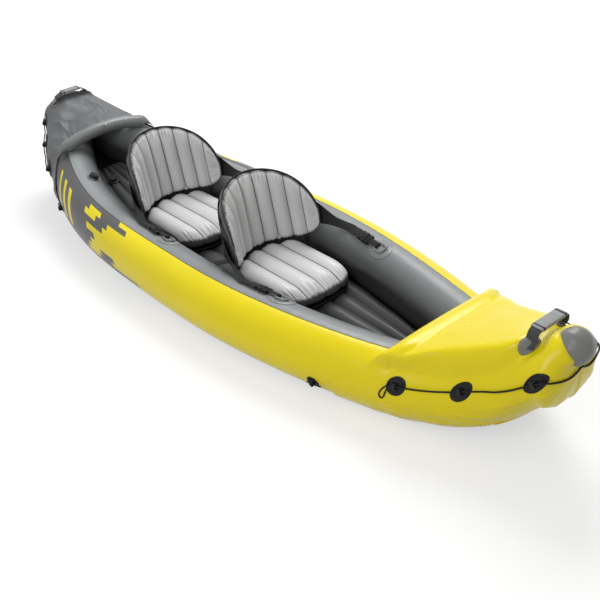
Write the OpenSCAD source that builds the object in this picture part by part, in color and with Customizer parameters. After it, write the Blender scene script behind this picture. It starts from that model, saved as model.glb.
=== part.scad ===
// Inflatable two-seat kayak with bow and stern spray covers, bucket seats and rope rails.
// Frame: +X to the bow, +Y to port, +Z up, origin on the ground below midships.

/* [Hull] */
// Length from midships to where the side tubes begin to round off
half_len = 1500; // [1350:10:1650]
// Half of the greatest beam
half_beam = 455; // [430:1:480]
// Width of a side tube at midships
tube_w = 248; // [230:1:262]
// Height of a side tube's top at midships
tube_h = 249; // [235:1:265]
// Width of a side tube at its ends
end_tube_w = 220; // [200:1:236]
// Half breadth of the hull at the bow end
bow_end_half = 122; // [114:1:140]
// Half breadth of the hull at the stern end
stern_end_half = 122; // [114:1:140]
// How late the bow draws in, as a power
bow_fine = 1.9; // [1.7:0.1:2.4]
// How late the stern draws in, as a power
stern_fine = 3.6; // [3:0.1:4.2]
// Rise of the gunwale at the bow
bow_rise = 218; // [180:1:260]
// How late the gunwale rises at the bow, as a power
bow_rise_pow = 8.6; // [7:0.1:10]
// Rise of the gunwale at the stern
stern_rise = 240; // [200:1:260]
// How late the gunwale rises at the stern, as a power
stern_rise_pow = 5.2; // [4.5:0.1:6]
// Rise of the bottom at the bow
bow_keel = 240; // [190:1:260]
// Rise of the bottom at the stern
stern_keel = 238; // [200:1:250]
// Depth of the tubes' blunt round ends
end_round = 56; // [40:1:60]
// Thickness of the bottom sheet
sheet_t = 3; // [2:0.5:5]
// Height of the floor's crests
floor_h = 85; // [70:1:95]
// Lengthwise chambers of the floor
floor_chambers = 5; // [3:1:7]

/* [Covers] */
// Thickness of the spray covers
cover_t = 2.5; // [2:0.1:4]
// Length of the bow deck, from its cockpit edge to the end of the tubes
bow_deck = 487; // [450:1:540]
// Reach of the bow cover's side ears behind that edge
bow_ear = 170; // [120:1:200]
// Length of the stern deck, from its cockpit edge to the end of the tubes
stern_deck = 267; // [240:1:300]
// Reach of the stern cover's side ears before that edge
stern_ear = 165; // [120:1:190]
// Height of the ridge that the bow roll lifts in the cover
ridge_h = 48; // [44:1:60]
// Fullness of the bow cover ahead of that ridge
bow_full = 22; // [0:1:40]
// Radius of the bow roll under the cover
bow_roll_r = 19; // [12:1:20]
// Radius of the stern roll
stern_roll_r = 30; // [24:1:32]
// Height that the stern roll arches over the tubes
stern_arch = 27; // [15:1:40]
// Rise of the blunt ends' tips above the tubes' centres
nose_up = 70; // [50:1:90]
// Radius of the nose cap
nose_r = 56; // [48:1:62]

/* [Ropes and handles] */
// Diameter of the grab rope
rope_d = 6; // [5:0.5:7]
// Diameter of a rope holder's disc
holder_d = 64; // [60:1:76]
// Width of the handles' webbing
handle_w = 38; // [30:1:42]
// Thickness of the handles' webbing
handle_t = 3; // [2:0.5:4]
// Length of the handles' grips
grip_len = 118; // [90:1:125]
// Height of the bow handle above its pivots
handle_h = 36; // [28:1:60]
// Height of the stern handle above its pivots
stern_handle_h = 20; // [18:1:40]
// Lean of the handles' legs towards each other
handle_in = 10; // [0:1:14]

/* [Seats] */
// Place of the rear seat behind the front seat
seat_pitch = 690; // [660:1:720]
// Front edge of the front seat's cushion from midships
seat_front = 445; // [420:1:460]
// Half width of the seat cushions
seat_half = 166; // [150:1:168]
// Thickness of the seat cushions
seat_t = 88; // [70:1:100]
// Lengthwise channels of a seat cushion
seat_channels = 4; // [3:1:5]
// Thickness of the seat bases
base_t = 9; // [6:1:12]
// Radius of the backrest's middle surface, seen from above
back_r = 215; // [208:1:218]
// Height of a backrest at its middle
back_h = 300; // [280:1:330]
// Half angle that a backrest wraps round
back_wrap = 80; // [70:1:82]
// Thickness of a backrest
back_t = 56; // [40:1:60]
// Upright channels of a backrest
back_channels = 9; // [7:1:11]
// Backward lean of a backrest
back_lean = 9; // [6:1:14]
// Width of the seat straps
strap_w = 38; // [30:1:40]
// Thickness of the seat straps
strap_t = 2.4; // [2:0.1:3]

/* [Fittings] */
// Length of a strap ring
ring_l = 56; // [50:1:60]
// Width of a strap ring
ring_b = 44; // [42:1:48]
// Thickness of a strap ring's bar
ring_d = 7; // [6:0.5:8]
// Radius of an air valve's neck
valve_r = 17; // [15:0.5:19]
// Height of an air valve's neck
valve_h = 12; // [10:1:14]
// Wall of an air valve's cap
cap_wall = 3; // [2.5:0.5:4]
// Radius of a small plug valve
plug_r = 6; // [5:0.5:7]

/* [Hidden] */
// Clearances between pieces that touch
gap = 0.4;
// Stations of the cockpit edges
bow_edge = half_len - bow_deck;
stern_edge = half_len - stern_deck;
cover_gap = 3.4;
sheet_gap = 1;
hem_gap = 1.4;
run_gap = 0.3;
// Parts of the half length that keep a flat bottom, and how late the bottom rises
bow_flat = 0.4;
stern_flat = 0.3;
bow_keel_pow = 5.5;
stern_keel_pow = 3.2;
// Roundness of the blunt ends, as a power
end_power = 2.3;
// Angles round a tube: 0 outboard, 90 on top, 180 inboard
skirt_low = -60;
sheet_up = -66;
ring_step = 15;
// Places of the rope holders as station and angle, from the cockpit to the end
bow_holders = [[bow_edge + 73, 24], [bow_edge + bow_deck * 0.5729, 26], [half_len + 6, 6]];
stern_holders = [[-stern_edge - 22, 10], [-stern_edge - stern_deck * 0.5431, 14], [-half_len + 4, 10]];
bow_tie = [bow_edge - 245, -21];
stern_tie = [-stern_edge + 205, -8];
// Places of the handles' feet
bow_foot = [half_len - 62, 74];
stern_foot = [-half_len + 10, 60];
// Seat derived sizes
seat_back = [0, -seat_pitch];
arc_x = seat_front - 220;
base_z = floor_h + gap;
cushion_z = base_z + base_t + gap;
back_z = cushion_z + seat_t + 4;
ring_place = [seat_front + 42, 112];
buckle_l = 62;
buckle_w = 46;
buckle_t = 13;
// Air valves: station and angle, and on the floor station and share of the half width
tube_valve = [-stern_edge + 273, 118];
floor_valve = [-stern_edge + 123, -0.3929];
thread_lift = 6;

function smooth(t) = let (u = max(0, min(1, t))) u * u * (3 - 2 * u);
function mix(a, b, t) = a + (b - a) * t;
function unit(v) = v / norm(v);
function flip(p) = [p[0], -p[1], p[2]];
function sum_of(v) = v * [for (e = v) 1];

// Lines of the hull at station x
function share(x) = let (u = abs(x) / half_len, e = end_round / half_len)
    u < 1 - e ? u : u > 1 + e ? 1 : u - pow(u - 1 + e, 2) / (4 * e);
function breadth(x) = x > 0 ? half_beam - (half_beam - bow_end_half) * pow(share(x), bow_fine)
    : half_beam - (half_beam - stern_end_half) * pow(share(x), stern_fine);
function sheer(x) = tube_h + (x > 0 ? bow_rise * pow(share(x), bow_rise_pow)
    : stern_rise * pow(share(x), stern_rise_pow));
function lift(s, flat, p) = pow(max(0, (s - flat) / (1 - flat)), p);
function keel(x) = x > 0 ? bow_keel * lift(share(x), bow_flat, bow_keel_pow)
    : stern_keel * lift(share(x), stern_flat, stern_keel_pow);
function tube_a(x) = (tube_w + (end_tube_w - tube_w) * pow(share(x), 3)) / 2;
function tube_y(x) = breadth(x) - tube_a(x);
function under(x) = keel(x) + sheet_t + sheet_gap;
function tube_b(x) = (sheer(x) - under(x)) / 2;
function tube_z(x) = (sheer(x) + under(x)) / 2;
// Shrink of a section past the start of the blunt end
function blunt(x, off) = let (t = min(1, max(0, (abs(x) - half_len) / (end_round + off))))
    pow(1 - pow(t, end_power), 1 / end_power);
// Point of a section that the blunt end has shrunk to k of its size
function section(x, th, off, k, at) = [at, (tube_y(x) + (tube_a(x) + off) * cos(th)) * k,
    tube_z(x) + nose_up * (1 - k) + (tube_b(x) + off) * sin(th) * k];
// Point on the port tube at station x and angle th, off outside its skin
function surf(x, th, off = 0) = section(x, th, off, blunt(x, off), x);

// Cockpit edge of a cover, and the lift of the roll below it
function edge_x(sg, th) = let (w = smooth((82 - th) / 100))
    sg > 0 ? bow_edge - bow_ear * w : -stern_edge + stern_ear * w;
function deck_rise(d) = d <= 0 ? 0 : d < 55 ? ridge_h * sqrt(1 - pow(1 - d / 55, 2))
    : (ridge_h + bow_full * sin(180 * max(0, min(1, (d - 100) / (bow_deck - 127)))))
        * (1 - smooth((d - bow_deck + 102) / 85));
function ridge(sg, x, th) = sg < 0 ? 0 : let (d = x - edge_x(sg, th), u = smooth((d - 60) / 150))
    deck_rise(d) * smooth((th - 44) / mix(16, 34, u));
function stern_side(x) = 20 * smooth((-x - stern_edge + 60) / 160);
function cover_off(sg, x, th) = ridge(sg, x, th)
    + (sg < 0 ? stern_side(x) * smooth((75 - th) / 60) * smooth((th + 60) / 50) : 0);
function cov(x, th, off = 0) = let (sg = sign(x))
    surf(x, th, cover_gap + cover_t + off + cover_off(sg, x, th));
function cov_n(x, th, off) = unit(cross(cov(x, th + 1, off) - cov(x, th - 1, off),
    cov(x + 2, th, off) - cov(x - 2, th, off)));
// The same point with its height d measured square to the cover
function cov_up(x, th, d) = cov(x, th, d / (cov_n(x, th, 0) * [0, cos(th), sin(th)]));
function camber(sg, x) = blunt(x, 0) * (sg > 0 ? 4 * smooth((half_len - x) / 120)
    : let (d = -x - stern_edge, s = smooth(d / 190))
    (stern_arch + 24) * (1 - s) - 14 * s * smooth((tube_y(x) - 20) / 140));

// Closed solid through a list of rings with equal counts
module skin(rings0, turn = false) {
    rings = [for (r = rings0) turn ? [for (i = [len(r) - 1:-1:0]) r[i]] : r];
    n = len(rings[0]);
    m = len(rings);
    mid0 = [for (k = [0:2]) sum_of([for (p = rings[0]) p[k]]) / n];
    mid1 = [for (k = [0:2]) sum_of([for (p = rings[m - 1]) p[k]]) / n];
    polyhedron(points = concat([for (r = rings) each r], [mid0, mid1]), faces = concat(
        [for (i = [0:m - 2], j = [0:n - 1], k = [0, 1]) let (a = i * n + j, b = i * n + (j + 1) % n)
            k == 0 ? [a, b, b + n] : [a, b + n, a + n]],
        [for (j = [0:n - 1]) [m * n, (j + 1) % n, j]],
        [for (j = [0:n - 1]) [m * n + 1, (m - 1) * n + j, (m - 1) * n + (j + 1) % n]]));
}
// Closed sheet between two grids of equal size, the second on the outer side
module sheet(inner, outer) {
    m = len(inner);
    n = len(inner[0]);
    o = m * n;
    polyhedron(points = concat([for (r = inner) each r], [for (r = outer) each r]), faces = concat(
        [for (i = [0:m - 2], j = [0:n - 2], k = [0, 1]) let (a = i * n + j)
            k == 0 ? [a, a + 1, a + n + 1] : [a, a + n + 1, a + n]],
        [for (i = [0:m - 2], j = [0:n - 2], k = [0, 1]) let (a = o + i * n + j)
            k == 0 ? [a, a + n + 1, a + 1] : [a, a + n, a + n + 1]],
        [for (j = [0:n - 2], k = [0, 1]) k == 0 ? [j + 1, j, o + j] : [j + 1, o + j, o + j + 1]],
        [for (j = [0:n - 2], k = [0, 1]) let (a = (m - 1) * n + j)
            k == 0 ? [a, a + 1, o + a + 1] : [a, o + a + 1, o + a]],
        [for (i = [0:m - 2], k = [0, 1]) let (a = i * n) k == 0 ? [a, a + n, o + a + n] : [a,
            o + a + n, o + a]],
        [for (i = [0:m - 2], k = [0, 1]) let (a = i * n + n - 1)
            k == 0 ? [a + n, a, o + a] : [a + n, o + a, o + a + n]]));
}
// Tube swept along points, with a given count of sides
module sweep(path, r, sides, taper = 1, radii = []) {
    m = len(path);
    skin([for (i = [0:m - 1]) let (
        t = unit(path[min(m - 1, i + 1)] - path[max(0, i - 1)]),
        u = unit(cross(abs(t[2]) < 0.9 ? [0, 0, 1] : [1, 0, 0], t)), v = cross(t, u),
        k = ((i == 0 || i == m - 1) ? taper : 1) * (len(radii) > 0 ? radii[i] : 1))
        [for (j = [0:sides - 1]) path[i] + k * r * (u * cos(360 * j / sides) + v * sin(360
            * j / sides))]], true);
}
// Disc that follows a surface, r1 along the hull and r2 round it
module disc(x, th, r1, r2, off, t, on_cover) {
    per = 180 / PI / ((tube_a(x) + tube_b(x)) / 2 + off);
    n = 12;
    pts = [for (h = [0, t]) each concat([on_cover ? cov_up(x, th, off + h) : surf(x, th, off + h)],
        [for (k = [0.5, 1], j = [0:n - 1]) let (a = 360 * j / n, xx = x + k * r1 * cos(a),
            tt = th + k * r2 * sin(a) * per) on_cover ? cov_up(xx, tt, off + h) : surf(xx, tt, off + h)])];
    o = 2 * n + 1;
    polyhedron(points = pts, faces = concat(
        [for (j = [0:n - 1]) [0, 1 + (j + 1) % n, 1 + j]],
        [for (j = [0:n - 1], k = [0, 1]) let (a = 1 + j, b = 1 + (j + 1) % n)
            k == 0 ? [a, b + n, a + n] : [a, b, b + n]],
        [for (j = [0:n - 1]) [o, o + 1 + j, o + 1 + (j + 1) % n]],
        [for (j = [0:n - 1], k = [0, 1]) let (a = o + 1 + j, b = o + 1 + (j + 1) % n)
            k == 0 ? [a, b + n, b] : [a, a + n, b + n]],
        [for (j = [0:n - 1], k = [0, 1]) let (a = 1 + n + j, b = 1 + n + (j + 1) % n)
            k == 0 ? [a, o + b, o + a] : [a, b, o + b]]));
}
// Children stand on the hull: their X runs forward and their Z outward
module stand(x, th, off, on_cover) {
    p = on_cover ? cov_up(x, th, off) : surf(x, th, off);
    fx = unit(on_cover ? cov_up(x + 2, th, off) - cov_up(x - 2, th, off) : surf(x + 2, th,
        off) - surf(x - 2, th, off));
    ft = on_cover ? cov_up(x, th + 1, off) - cov_up(x, th - 1, off) : surf(x, th + 1, off) - surf(x,
        th - 1, off);
    n = unit(cross(ft, fx));
    s = cross(n, fx);
    multmatrix([[fx[0], s[0], n[0], p[0]], [fx[1], s[1], n[1], p[1]], [fx[2], s[2], n[2], p[2]], [0, 0,
        0, 1]])
        children();
}
module both_sides() {
    children();
    mirror([0, 1, 0]) children();
}

// Side tubes
end_steps = [0.45, 0.75, 0.92];
mid_part = 0.53;
end_part = [for (i = [1:11]) half_len * (mid_part + (1 - mid_part) * (1 - pow(1 - i / 11, 1.3)))];
function tube_x() = concat([for (k = [2:-1:0]) -half_len - end_round * end_steps[k]],
    [for (i = [10:-1:0]) -end_part[i]], [for (i = [-6:6]) half_len * mid_part * i / 6], end_part,
    [for (k = end_steps) half_len + end_round * k]);
function tube_ring(x) = [for (th = [0:ring_step:359]) let (p = surf(x, th)) [p[0], max(gap, p[1]), p[2]]];
run_cuts = [0, 7, 11, 14, 17, 20, 23, 26, 29, 33, 40];
// Stations of one lengthwise run, a hair short of its neighbours
function run_x(c) = let (xs = tube_x(), a = run_cuts[c], b = run_cuts[c + 1])
    [for (i = [a:b]) xs[i] + (i == a && a > 0 ? gap / 2 : 0) - (i == b && b < len(xs) - 1 ? gap / 2 : 0)];
module port_tube() color("gold") for (c = [0:len(run_cuts) - 2])
    skin([for (x = run_x(c)) tube_ring(x)], true);
module starboard_tube() color("gold") mirror([0, 1, 0]) port_tube();

// Bottom sheet that joins the tubes below the floor
sheet_th = [sheet_up, -75, -90];
function sheet_row(x, off, z) = concat([for (a = [0:2]) flip(surf(x, sheet_th[a], off))], [[x, 0, z]],
    [for (a = [2:-1:0]) surf(x, sheet_th[a], off)]);
// Narrow ends of the sheet, between the lowest lines of the tubes
strip_x = half_len - 45;
function strip_row(x, off, z) = [flip(surf(x, -90, off)), [x, 0, z], surf(x, -90, off)];
function strip_run(sg) = let (e = tube_x()[run_cuts[sg > 0 ? len(run_cuts) - 2 : 1]] + sg * gap / 2)
    [for (i = [0:4]) sg > 0 ? mix(e, strip_x, i / 4) : mix(-strip_x, e, i / 4)];
module bottom_sheet() color("dimgray") {
    for (c = [1:len(run_cuts) - 3]) {
        xs = run_x(c);
        sheet([for (x = xs) sheet_row(x, sheet_gap, keel(x) + sheet_t)],
            [for (x = xs) sheet_row(x, sheet_gap + sheet_t, keel(x))]);
    }
    for (sg = [-1, 1]) {
        xs = strip_run(sg);
        sheet([for (x = xs) strip_row(x, sheet_gap, keel(x) + sheet_t)],
            [for (x = xs) strip_row(x, sheet_gap + sheet_t, keel(x))]);
    }
}

// Floor of lengthwise chambers, which rests on the bottom sheet
function floor_w(x) = tube_y(x) - 0.9 * tube_a(x) - 3;
function floor_half(u) = (floor_h - sheet_t - gap) / 2
    * (0.55 + 0.45 * pow(abs(sin(90 * floor_chambers * (u + 1))), 0.8));
function floor_mid(x) = keel(x) + sheet_t + gap + (floor_h - sheet_t - gap) / 2;
function floor_top(x, u) = [x, u * floor_w(x), floor_mid(x) + floor_half(u)];
floor_cuts = concat([-stern_edge - 17], half_len * [-0.689333, -0.53, -0.266667, 0, 0.266667, 0.533333],
    [bow_edge + 45]);
module floor_chamber() color("#3a3b3d") for (c = [0:floor_chambers - 1], r = [0:len(floor_cuts) - 2]) {
    x0 = floor_cuts[r] + (r > 0 ? gap / 2 : 0);
    x1 = floor_cuts[r + 1] - (r < len(floor_cuts) - 2 ? gap / 2 : 0);
    skin([for (i = [0:3]) let (x = mix(x0, x1, i / 3), s = gap / floor_w(x) / 2,
        u0 = -1 + 2 * c / floor_chambers + s, u1 = -1 + 2 * (c + 1) / floor_chambers - s) concat(
        [for (j = [0:4]) floor_top(x, mix(u0, u1, j / 4))],
        [for (u = [u1, u0]) [x, u * floor_w(x), floor_mid(x) + 1.1 - floor_half(0)]])]);
}

// Spray covers
rows_d = [0, 4, 14, 32, 58, 92, 132, 176];
rows_f = [for (i = [1:12]) 1 - pow(1 - i / 12, 1.1)];
arc_n = 12;
function low_th(x) = mix(skirt_low, -89, smooth((abs(x) - half_len + 150) / 165));
function arc_at(j, x) = mix(low_th(x), 90, j / arc_n);
deck_q = [-2 / 3, -1 / 3, 0, 1 / 3, 2 / 3];
function cover_x(sg, th, r) = let (e = edge_x(sg, th), n = len(rows_d))
    r < n ? e + sg * rows_d[r] : mix(e + sg * rows_d[n - 1], sg * half_len, rows_f[min(r - n,
        len(rows_f) - 1)]);
function cover_arc(sg, j, r, off) = let (k = r - len(rows_d) - len(rows_f), xr = cover_x(sg,
    mix(skirt_low, 90, j / arc_n), r), th = arc_at(j, xr),
    hem = j == 0 ? hem_gap - cover_gap + 1.8 * smooth((abs(xr) - half_len + 150) / 60) : 0,
    x = sg * half_len, o = cover_gap + cover_t + off + cover_off(sg, x, th) + hem)
    k < 0 ? cov(xr, th, off + hem)
    : k < 3 ? let (e = x + sg * (end_round + o) * end_steps[k]) section(e, th, o, blunt(e, o), e)
    : let (e = x + sg * (end_round + o)) section(e, th, o, 0.1, e);
function cover_deck(sg, q, r, off) = let (p = cover_arc(sg, arc_n, r, off))
    [p[0], q * p[1], p[2] + camber(sg, p[0]) * (1 - q * q)];
function cover_row(sg, r, off) = concat([for (j = [0:arc_n]) flip(cover_arc(sg, j, r, off))],
    [for (q = deck_q) cover_deck(sg, q, r, off)],
    [for (j = [arc_n:-1:0]) cover_arc(sg, j, r, off)]);
module cover(sg) {
    n = len(rows_d) + len(rows_f) + 4;
    order = sg > 0 ? [0:n - 1] : [n - 1:-1:0];
    sheet([for (r = order) cover_row(sg, r, 0)], [for (r = order) cover_row(sg, r, -cover_t)]);
}
module bow_cover() color("gold") cover(1);
module stern_cover() color("gray") cover(-1);

// Rolls that hold the covers' cockpit edges up
module bow_roll() color("gold") {
    x = bow_edge + 50;
    z = sheer(x) + gap + bow_roll_r;
    w = tube_y(x) + 12;
    sweep([for (q = [-1, -0.93, -0.5, 0, 0.5, 0.93, 1]) [x, w * q, z]], bow_roll_r, 12, 0.6);
}
stern_roll_x = -stern_edge + stern_roll_r + 11;
roll_th = [52, 61, 70, 80, 91];
function roll_r(th) = stern_roll_r * mix(0.35, 1, smooth((th - 50) / 38));
function stern_roll_side() = [for (th = roll_th) surf(stern_roll_x, th, roll_r(th) * 1.07 - 0.1)];
function stern_roll_path() = let (s = stern_roll_side(), e = s[4], m = [for (q = [0.66, 0.33, 0, -0.33,
    -0.66])
    [stern_roll_x, q * e[1], e[2] + stern_arch * (1 - q * q)]])
    concat(s, m, [for (i = [4:-1:0]) flip(s[i])]);
module stern_roll() color("darkgray") sweep(stern_roll_path(), 1, 14, 0.6,
    concat([for (th = roll_th) roll_r(th)], [for (i = [0:4]) stern_roll_r],
        [for (i = [4:-1:0]) roll_r(roll_th[i])]));

// Moulded cap on the bow's tip
tip_z = tube_z(half_len + end_round) + nose_up;
module end_form(off) {
    xs = concat([for (i = [0:6]) mix(half_len - 160, half_len, i / 6)],
        [for (t = end_steps) half_len + (end_round + off) * t]);
    ring = function (x) concat([for (th = [-90:ring_step:90]) surf(x, th, off)],
        [for (th = [90:-ring_step:-90]) flip(surf(x, th, off))]);
    skin(concat([for (x = xs) ring(x)], [[for (p = ring(half_len + (end_round + off) * 0.92))
        [half_len + end_round + off, p[1] * 0.14, mix(tip_z, p[2], 0.14)]]]), true);
}
module nose_cap() color("gray") resize([0, 0, 0]) difference() {
    translate([half_len + end_round - 16, 0, tip_z + 9]) sphere(r = nose_r, $fn = 22);
    end_form(cover_gap + cover_t + 3 * gap);
}

// Grab ropes, their discs and clips
disc_t = 3;
clip_bore = rope_d + 2.2;
clip_l = 16;
clip_base = disc_t + 4 * gap;
clip_z = clip_base + 2 + clip_bore / 2;
function near_d(x, hs) = min([for (h = hs) abs(x - h[0])]);
rope_low = rope_d / 2 + 2.4;
function rope_off(x, hs) = mix(clip_z, rope_low, smooth((near_d(x, hs) - 24) / 48));
function rope_turn(x, a, b) = mix(a[1], b[1],
    smooth((abs(x - a[0]) * sign((x - a[0]) * (b[0] - a[0])) - 18) / (abs(b[0] - a[0]) - 36)));
function rope_th(x, hs) = abs(x) < abs(hs[1][0]) ? rope_turn(x, hs[0], hs[1]) : rope_turn(x, hs[1], hs[2]);
rope_stay = 15;
function rope_x(sg, hs) = concat([hs[0][0] - sg * 18], [for (k = [0, 1]) let (a = hs[k][0],
    b = hs[k + 1][0], f = rope_stay / abs(b - a))
    each [for (u = [0, f, 0.31, 0.5, 0.69, 1 - f]) mix(a, b, u)]], [hs[2][0], hs[2][0] + sg * rope_stay]);
function rope_side(sg, hs) = [for (x = rope_x(sg, hs)) cov_up(x, rope_th(x, hs), rope_off(x, hs))];
// The rope's way down round a blunt end, as share of its depth and angle
rope_steps = [[0.45, 5], [0.62, 0], [0.76, -9], [0.86, -22], [0.93, -44], [0.965, -68], [0.978, -88]];
function rope_front(sg) = [for (q = rope_steps) let (h = mix(clip_z, rope_low,
    smooth((q[0] - 0.55) / 0.25)),
    o = cover_gap + cover_t + h + cover_off(sg, sg * half_len, q[1]),
    e = sg * (half_len + (end_round + o) * q[0])) section(e, q[1], o, blunt(e, o), e)];
module rope(sg, hs) {
    half = concat(rope_side(sg, hs), rope_front(sg));
    m = len(half);
    sweep(concat(half, [[half[m - 1][0] + sg * 0.6, 0, half[m - 1][2]]],
        [for (i = [m - 1:-1:0]) flip(half[i])]), rope_d / 2, 8);
}
module tie_rope(sg, tie) both_sides()
    sweep([for (d = [-18, 0, 15, 26, 38]) let (x = tie[0] + sg * d)
        surf(x, tie[1], mix(clip_z - 0.5, rope_d / 2 + disc_t + 3,
            smooth((abs(x - tie[0]) - 16) / 22)))], rope_d / 2, 8);
module bow_rope() color("black") {
    rope(1, bow_holders);
    tie_rope(1, bow_tie);
}
module stern_rope() color("black") {
    rope(-1, stern_holders);
    tie_rope(-1, stern_tie);
}
module rope_holder_discs() color("#202020") both_sides() {
    for (h = concat(bow_holders, stern_holders)) disc(h[0], h[1], holder_d / 2, holder_d / 2, 2 * gap,
        disc_t, true);
    for (h = [bow_tie, stern_tie]) disc(h[0], h[1], holder_d * 0.36, holder_d * 0.36, 2 * gap, disc_t,
        false);
}
module clip() rotate([90, 0, 90]) translate([0, -2 - clip_bore / 2, -clip_l / 2])
    linear_extrude(clip_l) difference() {
    union() {
        translate([0, clip_bore / 2 + 2]) circle(r = clip_bore / 2 + 2.2, $fn = 32);
        translate([-clip_bore / 2 - 4, 0]) square([clip_bore + 8, clip_bore / 2 + 1]);
    }
    translate([0, clip_bore / 2 + 2]) circle(d = clip_bore, $fn = 32);
}
module rope_holder_clips() color("#101010") both_sides() {
    for (h = concat(bow_holders, stern_holders)) stand(h[0], h[1], clip_z, true) clip();
    for (h = [bow_tie, stern_tie]) stand(h[0], h[1], clip_z, false) clip();
}

// Carrying handles, which swing on their feet
foot_t = 3;
foot_off = 5 * gap;
bow_seat = -1.4;
stern_seat = -0.3;
foot_top = foot_off + foot_t + gap;
function pivot(f) = cov(f[0], f[1], foot_top) + cov_n(f[0], f[1], foot_top)
    * (handle_w / 2 + (f[0] > 0 ? bow_seat : stern_seat));
stern_foot_off = 2 * gap;
module foot(f, off, t) disc(f[0], f[1], handle_w / 2 + 5, handle_w / 2 + 5, off, t, true);
module handle_feet() color("#4a4a4c") both_sides() {
    foot(bow_foot, foot_off, foot_t + gap);
    foot(stern_foot, stern_foot_off, foot_off + foot_t - stern_foot_off);
}
bend_r = 16;
module handle_strap(f, hh) {
    p = pivot(f);
    r = bend_r;
    in = handle_in;
    arc = function (rr) [for (a = [0:15:90]) [p[1] - in + handle_t / 2 - r + rr * cos(a),
        hh + handle_t / 2 - r + rr * sin(a)]];
    side = function (rr) concat([[p[1] + handle_t / 2 - r + rr, 0]], arc(rr));
    outer = side(r);
    inner = side(r - handle_t);
    n = len(outer);
    translate([p[0], 0, p[2]]) {
        rotate([90, 0, 90]) translate([0, 0, -handle_w / 2]) linear_extrude(handle_w) polygon(concat(outer,
            [for (i = [n - 1:-1:0]) [-outer[i][0], outer[i][1]]], [for (q = inner) [-q[0], q[1]]],
            [for (i = [n - 1:-1:0]) inner[i]]));
        both_sides() translate([0, p[1] + handle_t / 2, 0]) rotate([90, 0, 0]) cylinder(d = handle_w,
            h = handle_t, $fn = 64);
    }
}
module handle_grip(f, hh, longest) {
    p = pivot(f);
    len = min(longest, 2 * (p[1] - handle_in + handle_t / 2 - bend_r - 2));
    w = handle_w / 2 + 5;
    translate([p[0], -len / 2, p[2] + hh]) rotate([-90, 0, 0]) linear_extrude(len) difference() {
        union() {
            square([2 * w - 12, 15], center = true);
            for (s = [-1, 1]) translate([s * (w - 7.5), 0]) circle(d = 15, $fn = 32);
        }
        square([handle_w + 2 * run_gap, handle_t + 2 * run_gap], center = true);
    }
}
module bow_handle_strap() color("#3c3c3e") handle_strap(bow_foot, handle_h);
module stern_handle_strap() color("#3c3c3e") handle_strap(stern_foot, stern_handle_h);
module bow_handle_grip() color("#59595b") handle_grip(bow_foot, handle_h, grip_len);
module stern_handle_grip() color("#59595b") handle_grip(stern_foot, stern_handle_h, grip_len * 0.8);

// Seat cushions, base panels and the skirts under the backrests
seat_r = back_r - 5;
function seat_edge(y) = let (q = abs(y) / seat_half) seat_front - 22 * q * q - 55 * pow(q, 6);
function seat_rear(y) = arc_x - sqrt(seat_r * seat_r - y * y);
function seat_xy(q, t, in) = let (y = q * (seat_half - in), a = seat_rear(y) + in,
    b = seat_edge(y) - in) [mix(a, b, t), y];
function chan(q, n) = pow(abs(sin(90 * n * (q + 1))), 0.6);
function fall(t, p, rear) = pow(max(0, 1 - pow(abs(2 * t - 1), t < 0.5 ? rear : p)), 0.5);
function seat_zz(q, t) = let (k = chan(q, seat_channels))
    fall(t, 6, 16) * (0.16 + 0.84 * pow(max(0, 1 - pow(abs(q), 8)), 0.4) * (0.7 + 0.3 * k));
seat_q = [for (i = [0:24]) sin(7.5 * (i - 12)) * 0.55 + (i - 12) / 12 * 0.45];
seat_s = [0, 0.012, 0.05, 0.13, 0.28, 0.5, 0.72, 0.87, 0.95, 0.988, 1];
function seat_pt(q, t, up) = let (p = seat_xy(q, t, 0)) [p[0], p[1], cushion_z + seat_t * (up > 0
    ? 0.42 + 0.56 * seat_zz(q, t) + 0.02 * (1 - q * q) : 0.42 - 0.42 * pow(seat_zz(q, t), 0.7)) + up * 1.5];
module cushion() sheet([for (q = seat_q) [for (t = seat_s) seat_pt(q, t, -1) + [0, 0, 1.5]]],
    [for (q = seat_q) [for (t = seat_s) seat_pt(q, t, 1)]]);
module base() translate([0, 0, base_z]) linear_extrude(base_t) polygon(concat(
    [for (i = [-12:12]) seat_xy(i / 12, 0, 6)], [for (i = [12:-1:-12]) seat_xy(i / 12, 1, 6)]));
skirt_x = arc_x - back_r / 2 - seat_pitch;
skirt_room = tube_y(skirt_x) - tube_a(skirt_x) - 8;
skirt_wrap = min(56, asin(min(1, skirt_room / (back_r + 3))));
function skirt_top(a) = back_z - gap;
function skirt_grid(r) = [for (i = [-9:9]) let (a = skirt_wrap * i / 9)
    [for (z = [base_z, skirt_top(a)]) [arc_x - r * cos(a), r * sin(a), z]]];
module skirt() sheet(skirt_grid(back_r - 1), skirt_grid(back_r + 3));
seat_up = [0, keel(arc_x - back_r - 3 + seat_back[1]) + 0.2];
module at_seat(i) translate([seat_back[i], 0, seat_up[i]]) children();
module front_cushion() color("silver") at_seat(0) cushion();
module rear_cushion() color("silver") at_seat(1) cushion();
module front_base() color("#151515") at_seat(0) base();
module rear_base() color("#151515") at_seat(1) base();
module front_skirt() color("#2a2a2c") at_seat(0) skirt();
module rear_skirt() color("#2a2a2c") at_seat(1) skirt();

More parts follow.
